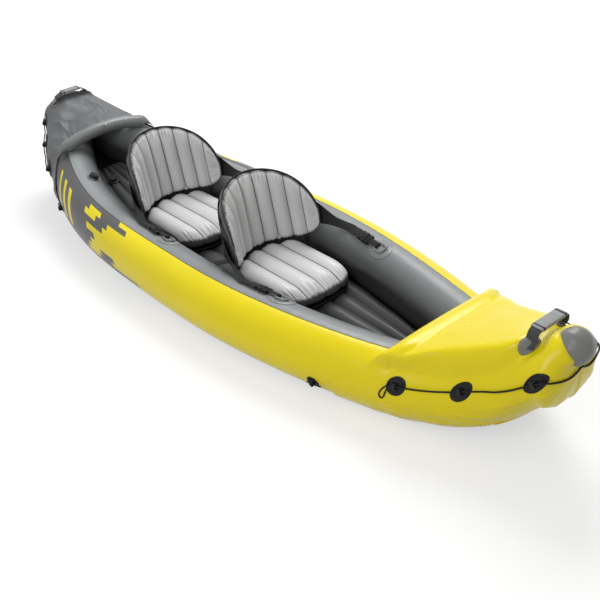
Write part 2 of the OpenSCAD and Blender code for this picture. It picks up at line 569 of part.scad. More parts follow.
// Backrests: half-round buckets of upright channels with a pinched rim
back_low = 100;
back_q = [for (i = [0:3 * back_channels]) (2 * i / (3 * back_channels) - 1) * 0.985];
back_s = [0, 0.02, 0.08, 0.2, 0.4, 0.62, 0.82, 0.94, 0.985, 1];
function back_top(q) = back_z + back_low + (back_h - back_low) * sqrt(1 - pow(abs(q), 2));
function back_bot(q) = back_z + back_low - back_low * sqrt(1 - pow(abs(q), 4.5));
function back_ch(q) = pow(abs(sin(90 * back_channels * (q + 1))), 0.6);
function back_at(q, z, r) = let (a = q * back_wrap)
    [arc_x - r * cos(a) - tan(back_lean) * (z - back_z), r * sin(a), z];
rim_t = 4;
function back_in(q, t) = rim_t + (0.62 * back_t - rim_t) * fall(t, 5,
    5) * (0.45 + 0.55 * back_ch(q)) * min(1, 5 * (1 - abs(q)));
function back_out(q, t) = rim_t + (0.38 * back_t - rim_t) * fall(t, 5,
    5) * (0.6 + 0.4 * back_ch(q)) * min(1, 5 * (1 - abs(q)));
function back_z_at(q, t) = mix(back_bot(q), back_top(q), t);
module backrest() sheet(
    [for (q = back_q) [for (t = back_s) back_at(q, back_z_at(q, t), back_r - back_in(q, t))]],
    [for (q = back_q) [for (t = back_s) back_at(q, back_z_at(q, t), back_r + back_out(q, t))]]);
shell_t = 2.2;
module backrest_cover() {
    tt = [0.04, 0.1, 0.25, 0.5, 0.78, 0.94];
    qs = [for (i = [0:20]) (i - 10) / 10 * 0.93];
    off = function (q, t) back_r + rim_t + (0.38 * back_t - rim_t) * fall(t, 5, 5) * min(1,
        5 * (1 - abs(q))) + gap + 1;
    sheet([for (q = qs) [for (t = tt) back_at(q, back_z_at(q, t), off(q, t))]],
        [for (q = qs) [for (t = tt) back_at(q, back_z_at(q, t), off(q, t) + shell_t)]]);
}
module front_backrest() color("silver") at_seat(0) backrest();
module rear_backrest() color("silver") at_seat(1) backrest();
module front_backrest_cover() color("#3a3a3c") at_seat(0) backrest_cover();
module rear_backrest_cover() color("#3a3a3c") at_seat(1) backrest_cover();

// Pinch valves: a soft neck with a push-in plug
neck_l = 9;
plug_l = 8;
module pinch_neck() difference() {
    cylinder(r = plug_r, h = neck_l, $fn = 32);
    translate([0, 0, 1.5]) cylinder(r = plug_r - 2.2, h = neck_l, $fn = 32);
}
module pinch_plug() {
    translate([0, 0, neck_l - plug_l + 1]) cylinder(r = plug_r - 2.2 - run_gap, h = plug_l, $fn = 32);
    translate([0, 0, neck_l + run_gap]) cylinder(r = plug_r + 0.8, h = 2.4, $fn = 32);
}
back_valve_q = 0.33;
module on_backrest() {
    p = back_at(back_valve_q, back_bot(back_valve_q) + 10, back_r - rim_t - 12.9);
    translate(p) rotate([0, 0, -back_valve_q * back_wrap]) rotate([0, 90, 0]) children();
}
module on_stern_roll() translate([stern_roll_x, 0, stern_roll_path()[7][2]]) rotate([0, 50, 0])
    translate([0, 0, stern_roll_r + gap]) children();
module front_backrest_valve() color("silver") at_seat(0) on_backrest() pinch_neck();
module rear_backrest_valve() color("silver") at_seat(1) on_backrest() pinch_neck();
module roll_valve() color("darkgray") on_stern_roll() pinch_neck();
module front_backrest_plug() color("white") at_seat(0) on_backrest() pinch_plug();
module rear_backrest_plug() color("white") at_seat(1) on_backrest() pinch_plug();
module roll_valve_plug() color("white") on_stern_roll() pinch_plug();

// Strap rings on their patches, the short tabs and the buckles
patch_t = 2.2;
ring_z = patch_t + 3 * gap;
buckle_z = ring_z + 1 + buckle_t / 2;
tab_x = ring_l / 2 + 36;
half_buckle = buckle_l * 0.62;
module rounded(l, w, r) {
    square([l - 2 * r, w], center = true);
    square([l, w - 2 * r], center = true);
    for (a = [-1, 1], b = [-1, 1]) translate([a * (l / 2 - r), b * (w / 2 - r)]) circle(r = r, $fn = 32);
}
module on_ring(i, off) stand(ring_place[0] + seat_back[i], ring_place[1], off) children();
module ring_patches() color("gray") both_sides() for (i = [0, 1])
    disc(ring_place[0] + seat_back[i], ring_place[1], ring_l * 1.02, ring_b * 1.02, 2 * gap, patch_t,
        false);
module strap_rings() color("#77777a") both_sides() for (i = [0, 1]) on_ring(i, ring_z)
    linear_extrude(ring_d) difference() {
    rounded(ring_l, ring_b, ring_b * 0.4);
    rounded(ring_l - 2 * ring_d, ring_b - 2 * ring_d, ring_b * 0.4 - ring_d);
}
module ring_tabs() color("#151515") both_sides() for (i = [0, 1]) on_ring(i, ring_z) {
    w = min(strap_w, ring_b - 2 * ring_d) - 4;
    top = ring_d + gap;
    translate([-tab_x + 0.6, -w / 2, top]) cube([tab_x - ring_l / 2 + ring_d + 7.4, w, strap_t]);
    translate([-ring_l / 2 + ring_d + 8 - strap_t, -w / 2, 0.8]) cube([strap_t, w, top + strap_t - 0.8]);
}
module buckle_body() difference() {
    translate([-half_buckle / 2, 0, 0]) rotate([0, 0, 0]) translate([0, 0, -buckle_t / 2])
        linear_extrude(buckle_t) rounded(half_buckle, buckle_w, 5);
    translate([-half_buckle + 9, -buckle_w / 2 + 5, -buckle_t / 2 + 2.5]) cube([half_buckle,
        buckle_w - 10, buckle_t - 5]);
    for (s = [-1, 1]) translate([-half_buckle * 0.62, s * buckle_w / 2, -buckle_t])
        cylinder(r = buckle_w * 0.2, h = 2 * buckle_t, $fn = 40);
}
module buckle_tongue() {
    l = buckle_l - half_buckle - 0.6;
    translate([0.6, -buckle_w / 2, -buckle_t / 2]) cube([l, buckle_w, buckle_t - 2]);
    translate([-half_buckle + 11, -buckle_w / 2 + 8, -buckle_t / 2 + 3]) cube([half_buckle - 10,
        buckle_w - 16, buckle_t - 6]);
}
module at_buckle(i) on_ring(i, buckle_z) translate([-tab_x - (buckle_l - half_buckle), 0, 0]) children();
module buckle_tongues() color("#0c0c0c") both_sides() for (i = [0, 1]) at_buckle(i) buckle_tongue();
module front_port_buckle() color("#0c0c0c") at_buckle(0) buckle_body();
module front_starboard_buckle() color("#0c0c0c") mirror([0, 1, 0]) at_buckle(0) buckle_body();
module rear_port_buckle() color("#0c0c0c") at_buckle(1) buckle_body();
module rear_starboard_buckle() color("#0c0c0c") mirror([0, 1, 0]) at_buckle(1) buckle_body();

// Webbing from the buckles to the backrests' wings
function tube_dir(x, th) = unit(surf(x + 2, th) - surf(x - 2, th));
function tube_n(x, th) = unit(cross(surf(x, th + 1) - surf(x, th - 1), surf(x + 2, th) - surf(x - 2, th)));
strap_q = 0.8;
// Height of the strap's end on the wing, and the wing's foremost point there
strap_z = mix(back_bot(strap_q), back_top(strap_q), 0.42);
wing_tip = back_at(0.93, strap_z, back_r + rim_t + (0.38 * back_t - rim_t) * 0.35 + gap + 1 + shell_t);
strap_clear = 4;
function strap_path(i) = let (x = ring_place[0] + seat_back[i], th = ring_place[1],
    d = tube_dir(x, th), n = tube_n(x, th), s = cross(n, d),
    p1 = surf(x, th, buckle_z) - d * (tab_x + buckle_l + 1), seat = [seat_back[i], 0, seat_up[i]],
    on_wing = back_at(strap_q, strap_z, back_r + 0.38 * back_t + shell_t + 4) + seat, tip = wing_tip + seat,
    past_tip = mix(p1[1], tip[1] + strap_clear, (on_wing[0] - p1[0]) / (tip[0] - p1[0])),
    p0 = [on_wing[0], max(on_wing[1], past_tip), on_wing[2]])
    [for (k = [0:10]) let (u = k / 10, w = unit(mix([0.15, 0.1, 1], s * (s[2] < 0 ? -1 : 1), smooth(u))),
        m = unit(cross(w, p1 - p0)))
        let (c = mix(p0, p1, u) + [0, 0, -6 * sin(180 * u)])
        [c - w * strap_w / 2 - m * strap_t / 2, c - w * strap_w / 2 + m * strap_t / 2,
         c + w * strap_w / 2 + m * strap_t / 2, c + w * strap_w / 2 - m * strap_t / 2]];
module strap(i) skin(strap_path(i), true);
module front_port_strap() color("#101010") strap(0);
module front_starboard_strap() color("#101010") mirror([0, 1, 0]) strap(0);
module rear_port_strap() color("#101010") strap(1);
module rear_starboard_strap() color("#101010") mirror([0, 1, 0]) strap(1);

// Strap behind each seat that runs from tube to tube
module seat_anchor_straps() color("#151515") for (i = [0, 1]) {
    x = arc_x - back_r - strap_w / 2 - 3.4 + seat_back[i];
    a = surf(x, 158, 3);
    skin([for (k = [-6:6]) let (u = k / 6, y = a[1] * u,
        z = a[2] - 32 * (1 - u * u)) [[x - strap_w / 2, y, z - strap_t / 2],
        [x + strap_w / 2, y, z - strap_t / 2], [x + strap_w / 2, y, z + strap_t / 2], [x - strap_w / 2,
            y, z + strap_t / 2]]]);
}

// Screw valves: patch, neck, cap and the tether ring that the cap carries
valve_base = patch_t + 5 * gap;
function floor_valve_p() = floor_top(floor_valve[0], floor_valve[1]);
floor_pitch = atan2(keel(floor_valve[0] + 20) - keel(floor_valve[0] - 20), 40);
module on_floor(off) translate(floor_valve_p()) rotate([0, -floor_pitch, 0]) translate([0, 0,
    off]) children();
module on_tube(off) stand(tube_valve[0], tube_valve[1], off) children();
module valve_patches() color("#2c2c2e") {
    both_sides() disc(tube_valve[0], tube_valve[1], valve_r * 2, valve_r * 2, 3 * gap, patch_t, false);
    on_floor(4 * gap) cylinder(r = valve_r * 1.5, h = patch_t, $fn = 48);
}
module neck() difference() {
    cylinder(r = valve_r, h = valve_h, $fn = 48);
    translate([0, 0, 2]) cylinder(r = valve_r - 4, h = valve_h, $fn = 48);
}
module valve_necks() color("#1c1c1e") {
    both_sides() on_tube(valve_base) neck();
    on_floor(valve_base) neck();
}
cap_low = 3.2;
module cap() difference() {
    translate([0, 0, cap_low]) cylinder(r = valve_r + run_gap + cap_wall,
        h = valve_h - cap_low + run_gap + 3, $fn = 48);
    cylinder(r = valve_r + run_gap, h = valve_h + run_gap, $fn = 48);
    for (a = [0:30:330]) rotate(a) translate([valve_r + run_gap + cap_wall + 1.4, 0, 0])
        cylinder(r = 2.4, h = valve_h * 3, $fn = 20);
}
module tether() {
    translate([0, 0, 0.5]) difference() {
        union() {
            cylinder(r = valve_r + 6, h = 2.2, $fn = 48);
            translate([valve_r, -5, 0]) cube([16, 10, 2.2]);
        }
        translate([0, 0, -1]) cylinder(r = valve_r + run_gap, h = 5, $fn = 48);
    }
}
module port_valve_cap() color("#141414") on_tube(valve_base) cap();
module starboard_valve_cap() color("#141414") mirror([0, 1, 0]) on_tube(valve_base) cap();
module floor_valve_cap() color("#141414") on_floor(valve_base) cap();
module port_valve_tether() color("#242424") on_tube(valve_base) tether();
module starboard_valve_tether() color("#242424") mirror([0, 1, 0]) on_tube(valve_base) tether();
module floor_valve_tether() color("#242424") on_floor(valve_base) tether();

// Parts drawn
starboard_tube();
port_tube();
bottom_sheet();
floor_chamber();
bow_cover();
stern_cover();
bow_roll();
stern_roll();
nose_cap();
bow_rope();
stern_rope();
rope_holder_discs();
rope_holder_clips();
handle_feet();
ring_patches();
strap_rings();
ring_tabs();
buckle_tongues();
seat_anchor_straps();
front_cushion();
front_base();
front_skirt();
rear_cushion();
rear_base();
rear_skirt();
valve_patches();
valve_necks();
roll_valve();
front_port_strap();
front_starboard_strap();
rear_port_strap();
rear_starboard_strap();
front_backrest();
front_backrest_cover();
front_backrest_valve();
rear_backrest();
rear_backrest_cover();
rear_backrest_valve();
bow_handle_strap();
bow_handle_grip();
stern_handle_strap();
stern_handle_grip();
front_port_buckle();
front_starboard_buckle();
rear_port_buckle();
rear_starboard_buckle();
port_valve_cap();
starboard_valve_cap();
floor_valve_cap();
port_valve_tether();
starboard_valve_tether();
floor_valve_tether();
roll_valve_plug();
front_backrest_plug();
rear_backrest_plug();
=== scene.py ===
import math

import bpy
import numpy as np
from mathutils import Matrix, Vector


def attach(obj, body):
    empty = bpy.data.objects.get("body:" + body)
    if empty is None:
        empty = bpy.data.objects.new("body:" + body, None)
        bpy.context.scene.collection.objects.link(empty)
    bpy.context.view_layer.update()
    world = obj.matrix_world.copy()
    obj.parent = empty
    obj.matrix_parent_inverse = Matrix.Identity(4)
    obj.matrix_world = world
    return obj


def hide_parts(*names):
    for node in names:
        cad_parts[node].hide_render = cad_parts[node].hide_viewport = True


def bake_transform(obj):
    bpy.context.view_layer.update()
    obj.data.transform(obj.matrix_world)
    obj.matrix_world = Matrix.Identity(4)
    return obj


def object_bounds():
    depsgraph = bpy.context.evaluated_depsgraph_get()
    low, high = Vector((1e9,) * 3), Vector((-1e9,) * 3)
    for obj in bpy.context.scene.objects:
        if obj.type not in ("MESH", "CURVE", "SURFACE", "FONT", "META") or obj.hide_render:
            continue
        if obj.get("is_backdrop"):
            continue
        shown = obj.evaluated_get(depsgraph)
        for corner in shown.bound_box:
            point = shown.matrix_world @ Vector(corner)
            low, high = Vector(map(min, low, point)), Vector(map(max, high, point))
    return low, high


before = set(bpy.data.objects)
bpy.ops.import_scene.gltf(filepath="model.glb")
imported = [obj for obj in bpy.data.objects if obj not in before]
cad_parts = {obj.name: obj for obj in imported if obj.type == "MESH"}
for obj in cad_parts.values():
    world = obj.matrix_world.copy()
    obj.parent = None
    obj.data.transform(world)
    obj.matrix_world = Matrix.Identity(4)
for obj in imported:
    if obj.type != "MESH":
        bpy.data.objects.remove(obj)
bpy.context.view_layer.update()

# Side tubes: two long air chambers of welded vinyl film that make the sides of the hull.
# Each is a bent tube with blunt ends; the film is yellow outside and grey on top, and painted shade
# darkens the grey down the inner wall. A bead runs along the weld between the printed side and the grey
# top.
half_len = 1.5
half_beam = 0.455
tube_w = 0.248
tube_h = 0.249
end_tube_w = 0.22
end_half = 0.122
bow_fine = 1.9
stern_fine = 3.6
bow_rise = 0.218
bow_rise_pow = 8.6
stern_rise = 0.24
stern_rise_pow = 5.2
bow_keel = 0.24
stern_keel = 0.238
bow_flat = 0.4
stern_flat = 0.3
bow_keel_pow = 5.5
stern_keel_pow = 3.2
end_round = 0.056
nose_up = 0.07
end_power = 2.3
sheet_t = 0.003
sheet_gap = 0.001
full_turn = 6.2832


def ease(t):
    """Smooth step: 0 below 0, 1 above 1, and 3t^2 - 2t^3 between."""
    u = np.clip(t, 0, 1)
    return u * u * (3 - 2 * u)


def mix(a, b, t):
    """The value a share t of the way from a to b."""
    return a + (b - a) * t


def share(x):
    """Station as a share of the half length, eased to 1 where the blunt end begins."""
    u = np.abs(x) / half_len
    e = end_round / half_len
    return np.where(u < 1 - e, u, np.where(u > 1 + e, 1, u - (u - 1 + e) ** 2 / (4 * e)))


def breadth(x):
    """Half breadth: the half beam, drawn in by a power of the station's share."""
    return half_beam - (half_beam - end_half) * share(x) ** np.where(x > 0, bow_fine, stern_fine)


def sheer(x):
    """Height of the gunwale: level amidships, rising by a high power towards each end."""
    s = share(x)
    return tube_h + np.where(x > 0, bow_rise * s**bow_rise_pow, stern_rise * s**stern_rise_pow)


def keel(x):
    """Height of the bottom: flat amidships, rising by a power past the flat part."""
    s = share(x)
    bow = bow_keel * np.clip((s - bow_flat) / (1 - bow_flat), 0, None) ** bow_keel_pow
    stern = stern_keel * np.clip((s - stern_flat) / (1 - stern_flat), 0, None) ** stern_keel_pow
    return np.where(x > 0, bow, stern)


def tube_a(x):
    """Half width of a tube."""
    return (tube_w + (end_tube_w - tube_w) * share(x) ** 3) / 2


def tube_y(x):
    """Distance of a tube's centre from the middle."""
    return breadth(x) - tube_a(x)


def tube_b(x):
    """Half height of a tube, between the bottom sheet and the gunwale."""
    return (sheer(x) - keel(x) - sheet_t - sheet_gap) / 2


def tube_z(x):
    """Height of a tube's centre."""
    return (sheer(x) + keel(x) + sheet_t + sheet_gap) / 2


def blunt(x, off):
    """Size of a section in the blunt end: a superellipse in the distance past the half length."""
    t = np.clip((np.abs(x) - half_len) / (end_round + off), 0, 1)
    return (1 - t**end_power) ** (1 / end_power)


def section(x, th, off, k, at):
    """Ellipse of station x at angle th, off outside the skin, shrunk to k and drawn at station at."""
    a = np.radians(th)
    y = (tube_y(x) + (tube_a(x) + off) * np.cos(a)) * k
    z = tube_z(x) + nose_up * (1 - k) + (tube_b(x) + off) * np.sin(a) * k
    return grid(at, y, z)


def surf(x, th, off=0.0):
    """Point of the port tube at station x and angle th: 0 outboard, 90 on top, 180 inboard."""
    return section(x, th, off, blunt(x, off), x)


def flip(points):
    """The same points on the other side of the hull."""
    return points * np.array([1, -1, 1])


def grid(*parts):
    """Points from coordinates of any shapes that broadcast together."""
    return np.stack(np.broadcast_arrays(*parts), -1)


def unit(v):
    """Vectors scaled to length 1."""
    return v / np.maximum(np.linalg.norm(v, axis=-1, keepdims=True), 1e-12)


def ripple(u, v, seed, wave, count=9):
    """Smooth noise from -1 to 1: the mean of sine waves of about one length in seeded directions."""
    rng = np.random.default_rng(seed)
    total = 0.0
    for turn, phase, size in rng.random((count, 3)):
        k = 2 * math.pi / (wave * (0.65 + 0.9 * size))
        run = u * math.cos(full_turn * turn) + v * math.sin(full_turn * turn)
        total = total + np.sin(k * run + full_turn * phase)
    return total / count * 2.2


def raised(points, height, facing=None):
    """The grid moved along its own normals, from the cross product of its two gradients."""
    n = unit(np.cross(np.gradient(points, axis=0), np.gradient(points, axis=1)))
    if facing is not None and (n * np.array(facing)).sum(-1).mean() < 0:
        n = -n
    return points + n * height[..., None]


def shell(points, uv=None, wrap=False, caps=False, facing=None, paint=0):
    """Quads over a grid of points. wrap joins the last column to the first, caps close the end rows
    with fans, and the faces are turned to give a positive volume or to look along facing."""
    rows, cols = points.shape[:2]
    if uv is None:
        u, v = np.meshgrid(np.linspace(0, 1, rows), np.linspace(0, 1, cols + 1), indexing="ij")
        uv = np.stack([u, v], -1)
    i, j = np.indices((rows - 1, cols if wrap else cols - 1))
    k = (j + 1) % cols
    around = [i * cols + j, (i + 1) * cols + j, (i + 1) * cols + k, i * cols + k]
    quads = np.stack(around, -1).reshape(-1, 4)
    corner = np.stack([uv[i, j], uv[i + 1, j], uv[i + 1, j + 1], uv[i, j + 1]], 2).reshape(-1, 4, 2)
    verts = points.reshape(-1, 3)
    tris = np.zeros((0, 3), int)
    tri_uv = np.zeros((0, 3, 2))
    if caps:
        n = len(verts)
        verts = np.concatenate([verts, points[[0, -1]].mean(axis=1)])
        j = np.arange(cols)
        k = (j + 1) % cols
        base = (rows - 1) * cols
        tris = np.concatenate([
            np.stack([np.full(cols, n), j, k], -1),
            np.stack([np.full(cols, n + 1), base + k, base + j], -1)])
        mid = uv[[0, -1]].mean(axis=1)
        tri_uv = np.concatenate([
            np.stack([np.tile(mid[0], (cols, 1)), uv[0, j], uv[0, j + 1]], 1),
            np.stack([np.tile(mid[1], (cols, 1)), uv[-1, j + 1], uv[-1, j]], 1)])
    a = np.concatenate([quads[:, [0, 1, 2]], quads[:, [0, 2, 3]], tris])
    p, q, r = verts[a[:, 0]], verts[a[:, 1]], verts[a[:, 2]]
    normal = np.cross(q - p, r - p)
    out = (p * normal).sum() if facing is None else (normal * np.array(facing)).sum()
    if out < 0:
        quads, corner = quads[:, ::-1], corner[:, ::-1]
        tris, tri_uv = tris[:, ::-1], tri_uv[:, ::-1]
    return {
        "verts": verts,
        "loops": np.concatenate([quads.ravel(), tris.ravel()]),
        "sizes": np.concatenate([np.full(len(quads), 4), np.full(len(tris), 3)]),
        "uv": np.concatenate([corner.reshape(-1, 2), tri_uv.reshape(-1, 2)]),
        "paint": np.full(len(quads) + len(tris), paint)}


def closed(points, uv=None, paint=0):
    """Shell that closes round each row of points and over both ends."""
    return shell(points, uv, True, True, None, paint)


def piece(name, shells, materials, body, slot, *nodes):
    """One object from several shells. It rides on a body and stands for CAD nodes; slot is not used."""
    mesh = bpy.data.meshes.new(name)
    counts = np.cumsum([0] + [len(s["verts"]) for s in shells])
    loops = np.concatenate([s["loops"] + n for s, n in zip(shells, counts)])
    verts, sizes, uv, paint = (
        np.concatenate([s[key] for s in shells]) for key in ("verts", "sizes", "uv", "paint"))
    mesh.vertices.add(len(verts))
    mesh.vertices.foreach_set("co", verts.astype(np.float32).ravel())
    mesh.loops.add(len(loops))
    mesh.loops.foreach_set("vertex_index", loops.astype(np.int32))
    mesh.polygons.add(len(sizes))
    mesh.polygons.foreach_set("loop_start", (np.cumsum(sizes) - sizes).astype(np.int32))
    mesh.polygons.foreach_set("material_index", paint.astype(np.int32))
    uv_map = mesh.uv_layers.new(name="UVMap")
    uv_map.data.foreach_set("uv", uv.astype(np.float32).ravel())
    mesh.update(calc_edges=True)
    mesh.validate()
    mesh.shade_smooth()
    for m in materials:
        mesh.materials.append(m)
    made = bpy.data.objects.new(name, mesh)
    bpy.context.scene.collection.objects.link(made)
    if body:
        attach(made, body)
    if nodes:
        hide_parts(*nodes)
    return made


def feed(tree, made, inputs):
    """Gives a node its inputs, sockets or values, by name or number."""
    for key, value in inputs.items():
        if isinstance(value, bpy.types.NodeSocket):
            tree.links.new(value, made.inputs[key])
        else:
            made.inputs[key].default_value = value


def node(tree, kind, inputs=None, **settings):
    """Adds a shader node with its settings and its inputs."""
    made = tree.nodes.new(kind)
    for key, value in settings.items():
        setattr(made, key, value)
    feed(tree, made, inputs or {})
    return made


def calc(tree, operation, *values):
    """Result of one Math node."""
    return node(tree, "ShaderNodeMath", dict(enumerate(values)), operation=operation).outputs[0]


def ramp(tree, value, low=0.0, high=1.0, a=0.0, b=1.0):
    """A value's run from low to high turned into a run from a to b, and held at both ends."""
    return node(tree, "ShaderNodeMapRange", {0: value, 1: low, 2: high, 3: a, 4: b}).outputs[0]


def blend_colour(tree, factor, a, b):
    """Colour a turned into colour b by a mask."""
    return node(tree, "ShaderNodeMix", {0: factor, 6: a, 7: b}, data_type="RGBA").outputs[2]


def own_map(tree):
    """The two coordinates of a piece's own map."""
    uv = node(tree, "ShaderNodeUVMap", uv_map="UVMap").outputs[0]
    return node(tree, "ShaderNodeSeparateXYZ", {0: uv}).outputs


def noise(tree, place, scale, detail=3.0, rough=0.55):
    """Value of a noise texture."""
    settings = {"Vector": place, "Scale": scale, "Detail": detail, "Roughness": rough}
    return node(tree, "ShaderNodeTexNoise", settings).outputs["Fac"]


def new_group(name, inputs, outputs):
    """An empty shader node group with named sockets: its tree, its input node and its output node."""
    group = bpy.data.node_groups.new(name, "ShaderNodeTree")
    face = group.interface
    for label, kind, value in inputs:
        socket = face.new_socket(label, in_out="INPUT", socket_type="NodeSocket" + kind)
        socket.default_value = value
    for label, kind in outputs:
        face.new_socket(label, in_out="OUTPUT", socket_type="NodeSocket" + kind)
    return group, group.nodes.new("NodeGroupInput").outputs, group.nodes.new("NodeGroupOutput")


def new_material(name):
    """A plain material: itself, its node tree and its shader."""
    made = bpy.data.materials.new(name)
    made.use_nodes = True
    return made, made.node_tree, made.node_tree.nodes["Principled BSDF"]


# Vinyl film as a node group: broad uneven tone, dull handling marks, fine embossed grain.
film, film_in, film_out = new_group(
    "vinyl_film",
    [("Colour", "Color", (0.5, 0.5, 0.5, 1)), ("Smooth", "Float", 0.25), ("Dull", "Float", 0.5),
     ("Tone", "Float", 0.1)],
    [("Colour", "Color"), ("Roughness", "Float"), ("Height", "Float")])
at = node(film, "ShaderNodeTexCoord").outputs["Object"]
broad = noise(film, at, 4.5, 4.0)
drawn = node(film, "ShaderNodeMapping", {"Vector": at, "Scale": (14, 40, 40)}).outputs[0]
marks = noise(film, drawn, 1.0, 5.0, 0.7)
grain = noise(film, at, 620.0, 2.0)
uneven = calc(film, "MULTIPLY_ADD", broad, 0.7, calc(film, "MULTIPLY_ADD", marks, 0.3, -0.5))
value = calc(film, "MULTIPLY_ADD", uneven, film_in["Tone"], 1.0)
toned = node(film, "ShaderNodeHueSaturation", {"Color": film_in["Colour"], "Value": value})
feed(film, film_out, {
    "Colour": toned.outputs[0],
    "Roughness": ramp(film, marks, 0.38, 0.68, film_in["Smooth"], film_in["Dull"]),
    "Height": calc(film, "MULTIPLY_ADD", grain, 0.5, calc(film, "MULTIPLY", marks, 0.5))})


def vinyl(name, colour, smooth=0.3, dull=0.5, tone=0.16, grain=0.12, coat=0.12, paint=None):
    """Material of vinyl film. paint(tree) may give the colour as a socket instead of one value."""
    made, tree, shader = new_material(name)
    base = paint(tree) if paint else (*colour, 1)
    skin = node(tree, "ShaderNodeGroup", {"Colour": base, "Smooth": smooth, "Dull": dull, "Tone": tone},
                node_tree=film).outputs
    bump = node(tree, "ShaderNodeBump", {"Height": skin["Height"], "Strength": grain, "Distance": 0.001})
    feed(tree, shader, {
        "Base Color": skin["Colour"],
        "Roughness": skin["Roughness"],
        "Normal": bump.outputs[0],
        "Coat Weight": coat,
        "Coat Roughness": 0.22,
        "Specular IOR Level": 0.14 if colour and max(colour) < 0.08 else 0.25})
    return made


yellow = (0.88, 0.72, 0.002)
top_grey = (0.25, 0.262, 0.268)
inner_wall_shade = (0.03, 0.03, 0.029)
side_grey = (0.098, 0.098, 0.1)
weld = 82.0


def between(tree, value, low, high):
    """1 where a value lies between two others."""
    above = calc(tree, "GREATER_THAN", value, low)
    return calc(tree, "MULTIPLY", above, calc(tree, "LESS_THAN", value, high))


def tube_print(tree):
    """Colours round the tube from its own map: station along u, angle round v. Slanted blocks in
    staggered rows carry the grey stern side into the yellow, and plain slanted bars stand aft of them."""
    x, turn, _ = own_map(tree)
    th = calc(tree, "MULTIPLY", turn, 360.0)
    row = calc(tree, "FLOOR", calc(tree, "DIVIDE", calc(tree, "ADD", th, 46.0), 10.6))
    lean = calc(tree, "MULTIPLY_ADD", th, 0.0021, x)
    odd = calc(tree, "MULTIPLY", calc(tree, "FRACT", calc(tree, "MULTIPLY", row, 0.618)), 0.11)
    cell = calc(tree, "FLOOR", calc(tree, "DIVIDE", calc(tree, "ADD", lean, odd), 0.115))
    spot = node(tree, "ShaderNodeCombineXYZ", {0: cell, 1: row}).outputs[0]
    pick = node(tree, "ShaderNodeTexWhiteNoise", {"Vector": spot}, noise_dimensions="2D").outputs["Value"]
    blocks = calc(tree, "LESS_THAN", pick, ramp(tree, cell, -7.6, -0.9))
    bar = calc(tree, "FRACT", calc(tree, "DIVIDE", calc(tree, "ADD", lean, 1.3), 0.075))
    bars = calc(tree, "LESS_THAN", bar, ramp(tree, lean, -1.02, -0.72, 0.25, 0.62))
    bars = calc(tree, "MULTIPLY", bars, between(tree, lean, -1.0, -0.775))
    bars = calc(tree, "MULTIPLY", bars, between(tree, th, 2.0, 57.0))
    shown = calc(tree, "MAXIMUM", blocks, bars)
    side = blend_colour(tree, shown, (*side_grey, 1), (*yellow, 1))
    side = blend_colour(tree, between(tree, th, -90.0, -48.0), side, (*side_grey, 1))
    paler = ramp(tree, x, -0.2, -0.8, 1.0, 1.18)
    top = node(tree, "ShaderNodeHueSaturation", {"Color": (*top_grey, 1), "Value": paler}).outputs[0]
    # Painted shade: the top grey darkens down the inner wall towards the floor, where shade falls.
    inside = blend_colour(tree, ramp(tree, th, 100.0, 168.0), top, (*inner_wall_shade, 1))
    whole = blend_colour(tree, calc(tree, "GREATER_THAN", th, weld), side, inside)
    line = calc(tree, "ABSOLUTE", calc(tree, "SUBTRACT", th, weld))
    return blend_colour(tree, calc(tree, "LESS_THAN", line, 0.75), whole, (0.035, 0.035, 0.035, 1))


tube_film = vinyl("tube_film", yellow, 0.3, 0.46, 0.14, paint=tube_print)
tube_rows = np.concatenate([-half_len - end_round * np.sin(np.linspace(1.5, 0.1, 8)),
                            np.linspace(-half_len, half_len, 260),
                            half_len + end_round * np.sin(np.linspace(0.1, 1.5, 8))])[:, None]
angles = np.concatenate([np.linspace(-90, 270, 109), weld + np.linspace(-4, 4, 15)])
tube_cols = np.unique(np.round(angles, 4))[None]
x, th = np.broadcast_arrays(tube_rows, tube_cols[:, :-1])
pucker = np.sin(2 * math.pi * x / 0.052 + 2 * ripple(x, 0 * x, 3, 0.4)) * np.exp(-((th - weld) / 9) ** 2)
tube_height = (0.0016 * np.exp(-((th - weld) / 0.8) ** 2) - 0.0011 * np.exp(-((th - weld) / 7) ** 2)
               + 0.0005 * pucker + 0.0006 * ripple(x, th / 460, 5, 0.5))
tube_uv = grid(tube_rows, tube_cols / 360)
port_points = surf(x, th, tube_height * blunt(x, 0))
port_points[..., 1] = np.maximum(port_points[..., 1], 0.0004)
for side, points in (("port", port_points), ("starboard", flip(port_points))):
    piece(side + "_air_tube", [closed(points, tube_uv)], [tube_film], "hull", "yellow_pvc",
          side + "_tube")

# Bottom sheet: one layer of heavy dark vinyl welded below both tubes, which the boat rests on.
# It runs round under each tube to the weld line and up with the bottom at both ends.
bottom_film = vinyl("bottom_film", (0.03, 0.03, 0.031), 0.38, 0.6, 0.3, 0.3)
sheet_end = 1.455
x = np.linspace(-sheet_end, sheet_end, 170)[:, None]
under_th = np.array([-66.0, -70, -75, -80, -85, -90])[None]
edge_th = mix(under_th, -90 + 0.04 * (under_th + 90), ease((np.abs(x) - 1.3) / 0.03))
port_edge = surf(np.broadcast_to(x, edge_th.shape), edge_th, sheet_gap)
q = np.linspace(-1, 1, 41)[1:-1]
middle = grid(x, tube_y(x) * q, keel(x) + sheet_t)
bottom_inner = np.concatenate([flip(port_edge), middle, port_edge[:, ::-1]], 1)
bottom = piece("bottom_skin", [shell(bottom_inner, facing=(0, 0, -1))], [bottom_film], "hull",
               "dark_pvc", "bottom_sheet")
thick = bottom.modifiers.new("thickness", "SOLIDIFY")
thick.thickness = sheet_t
thick.offset = 1.0

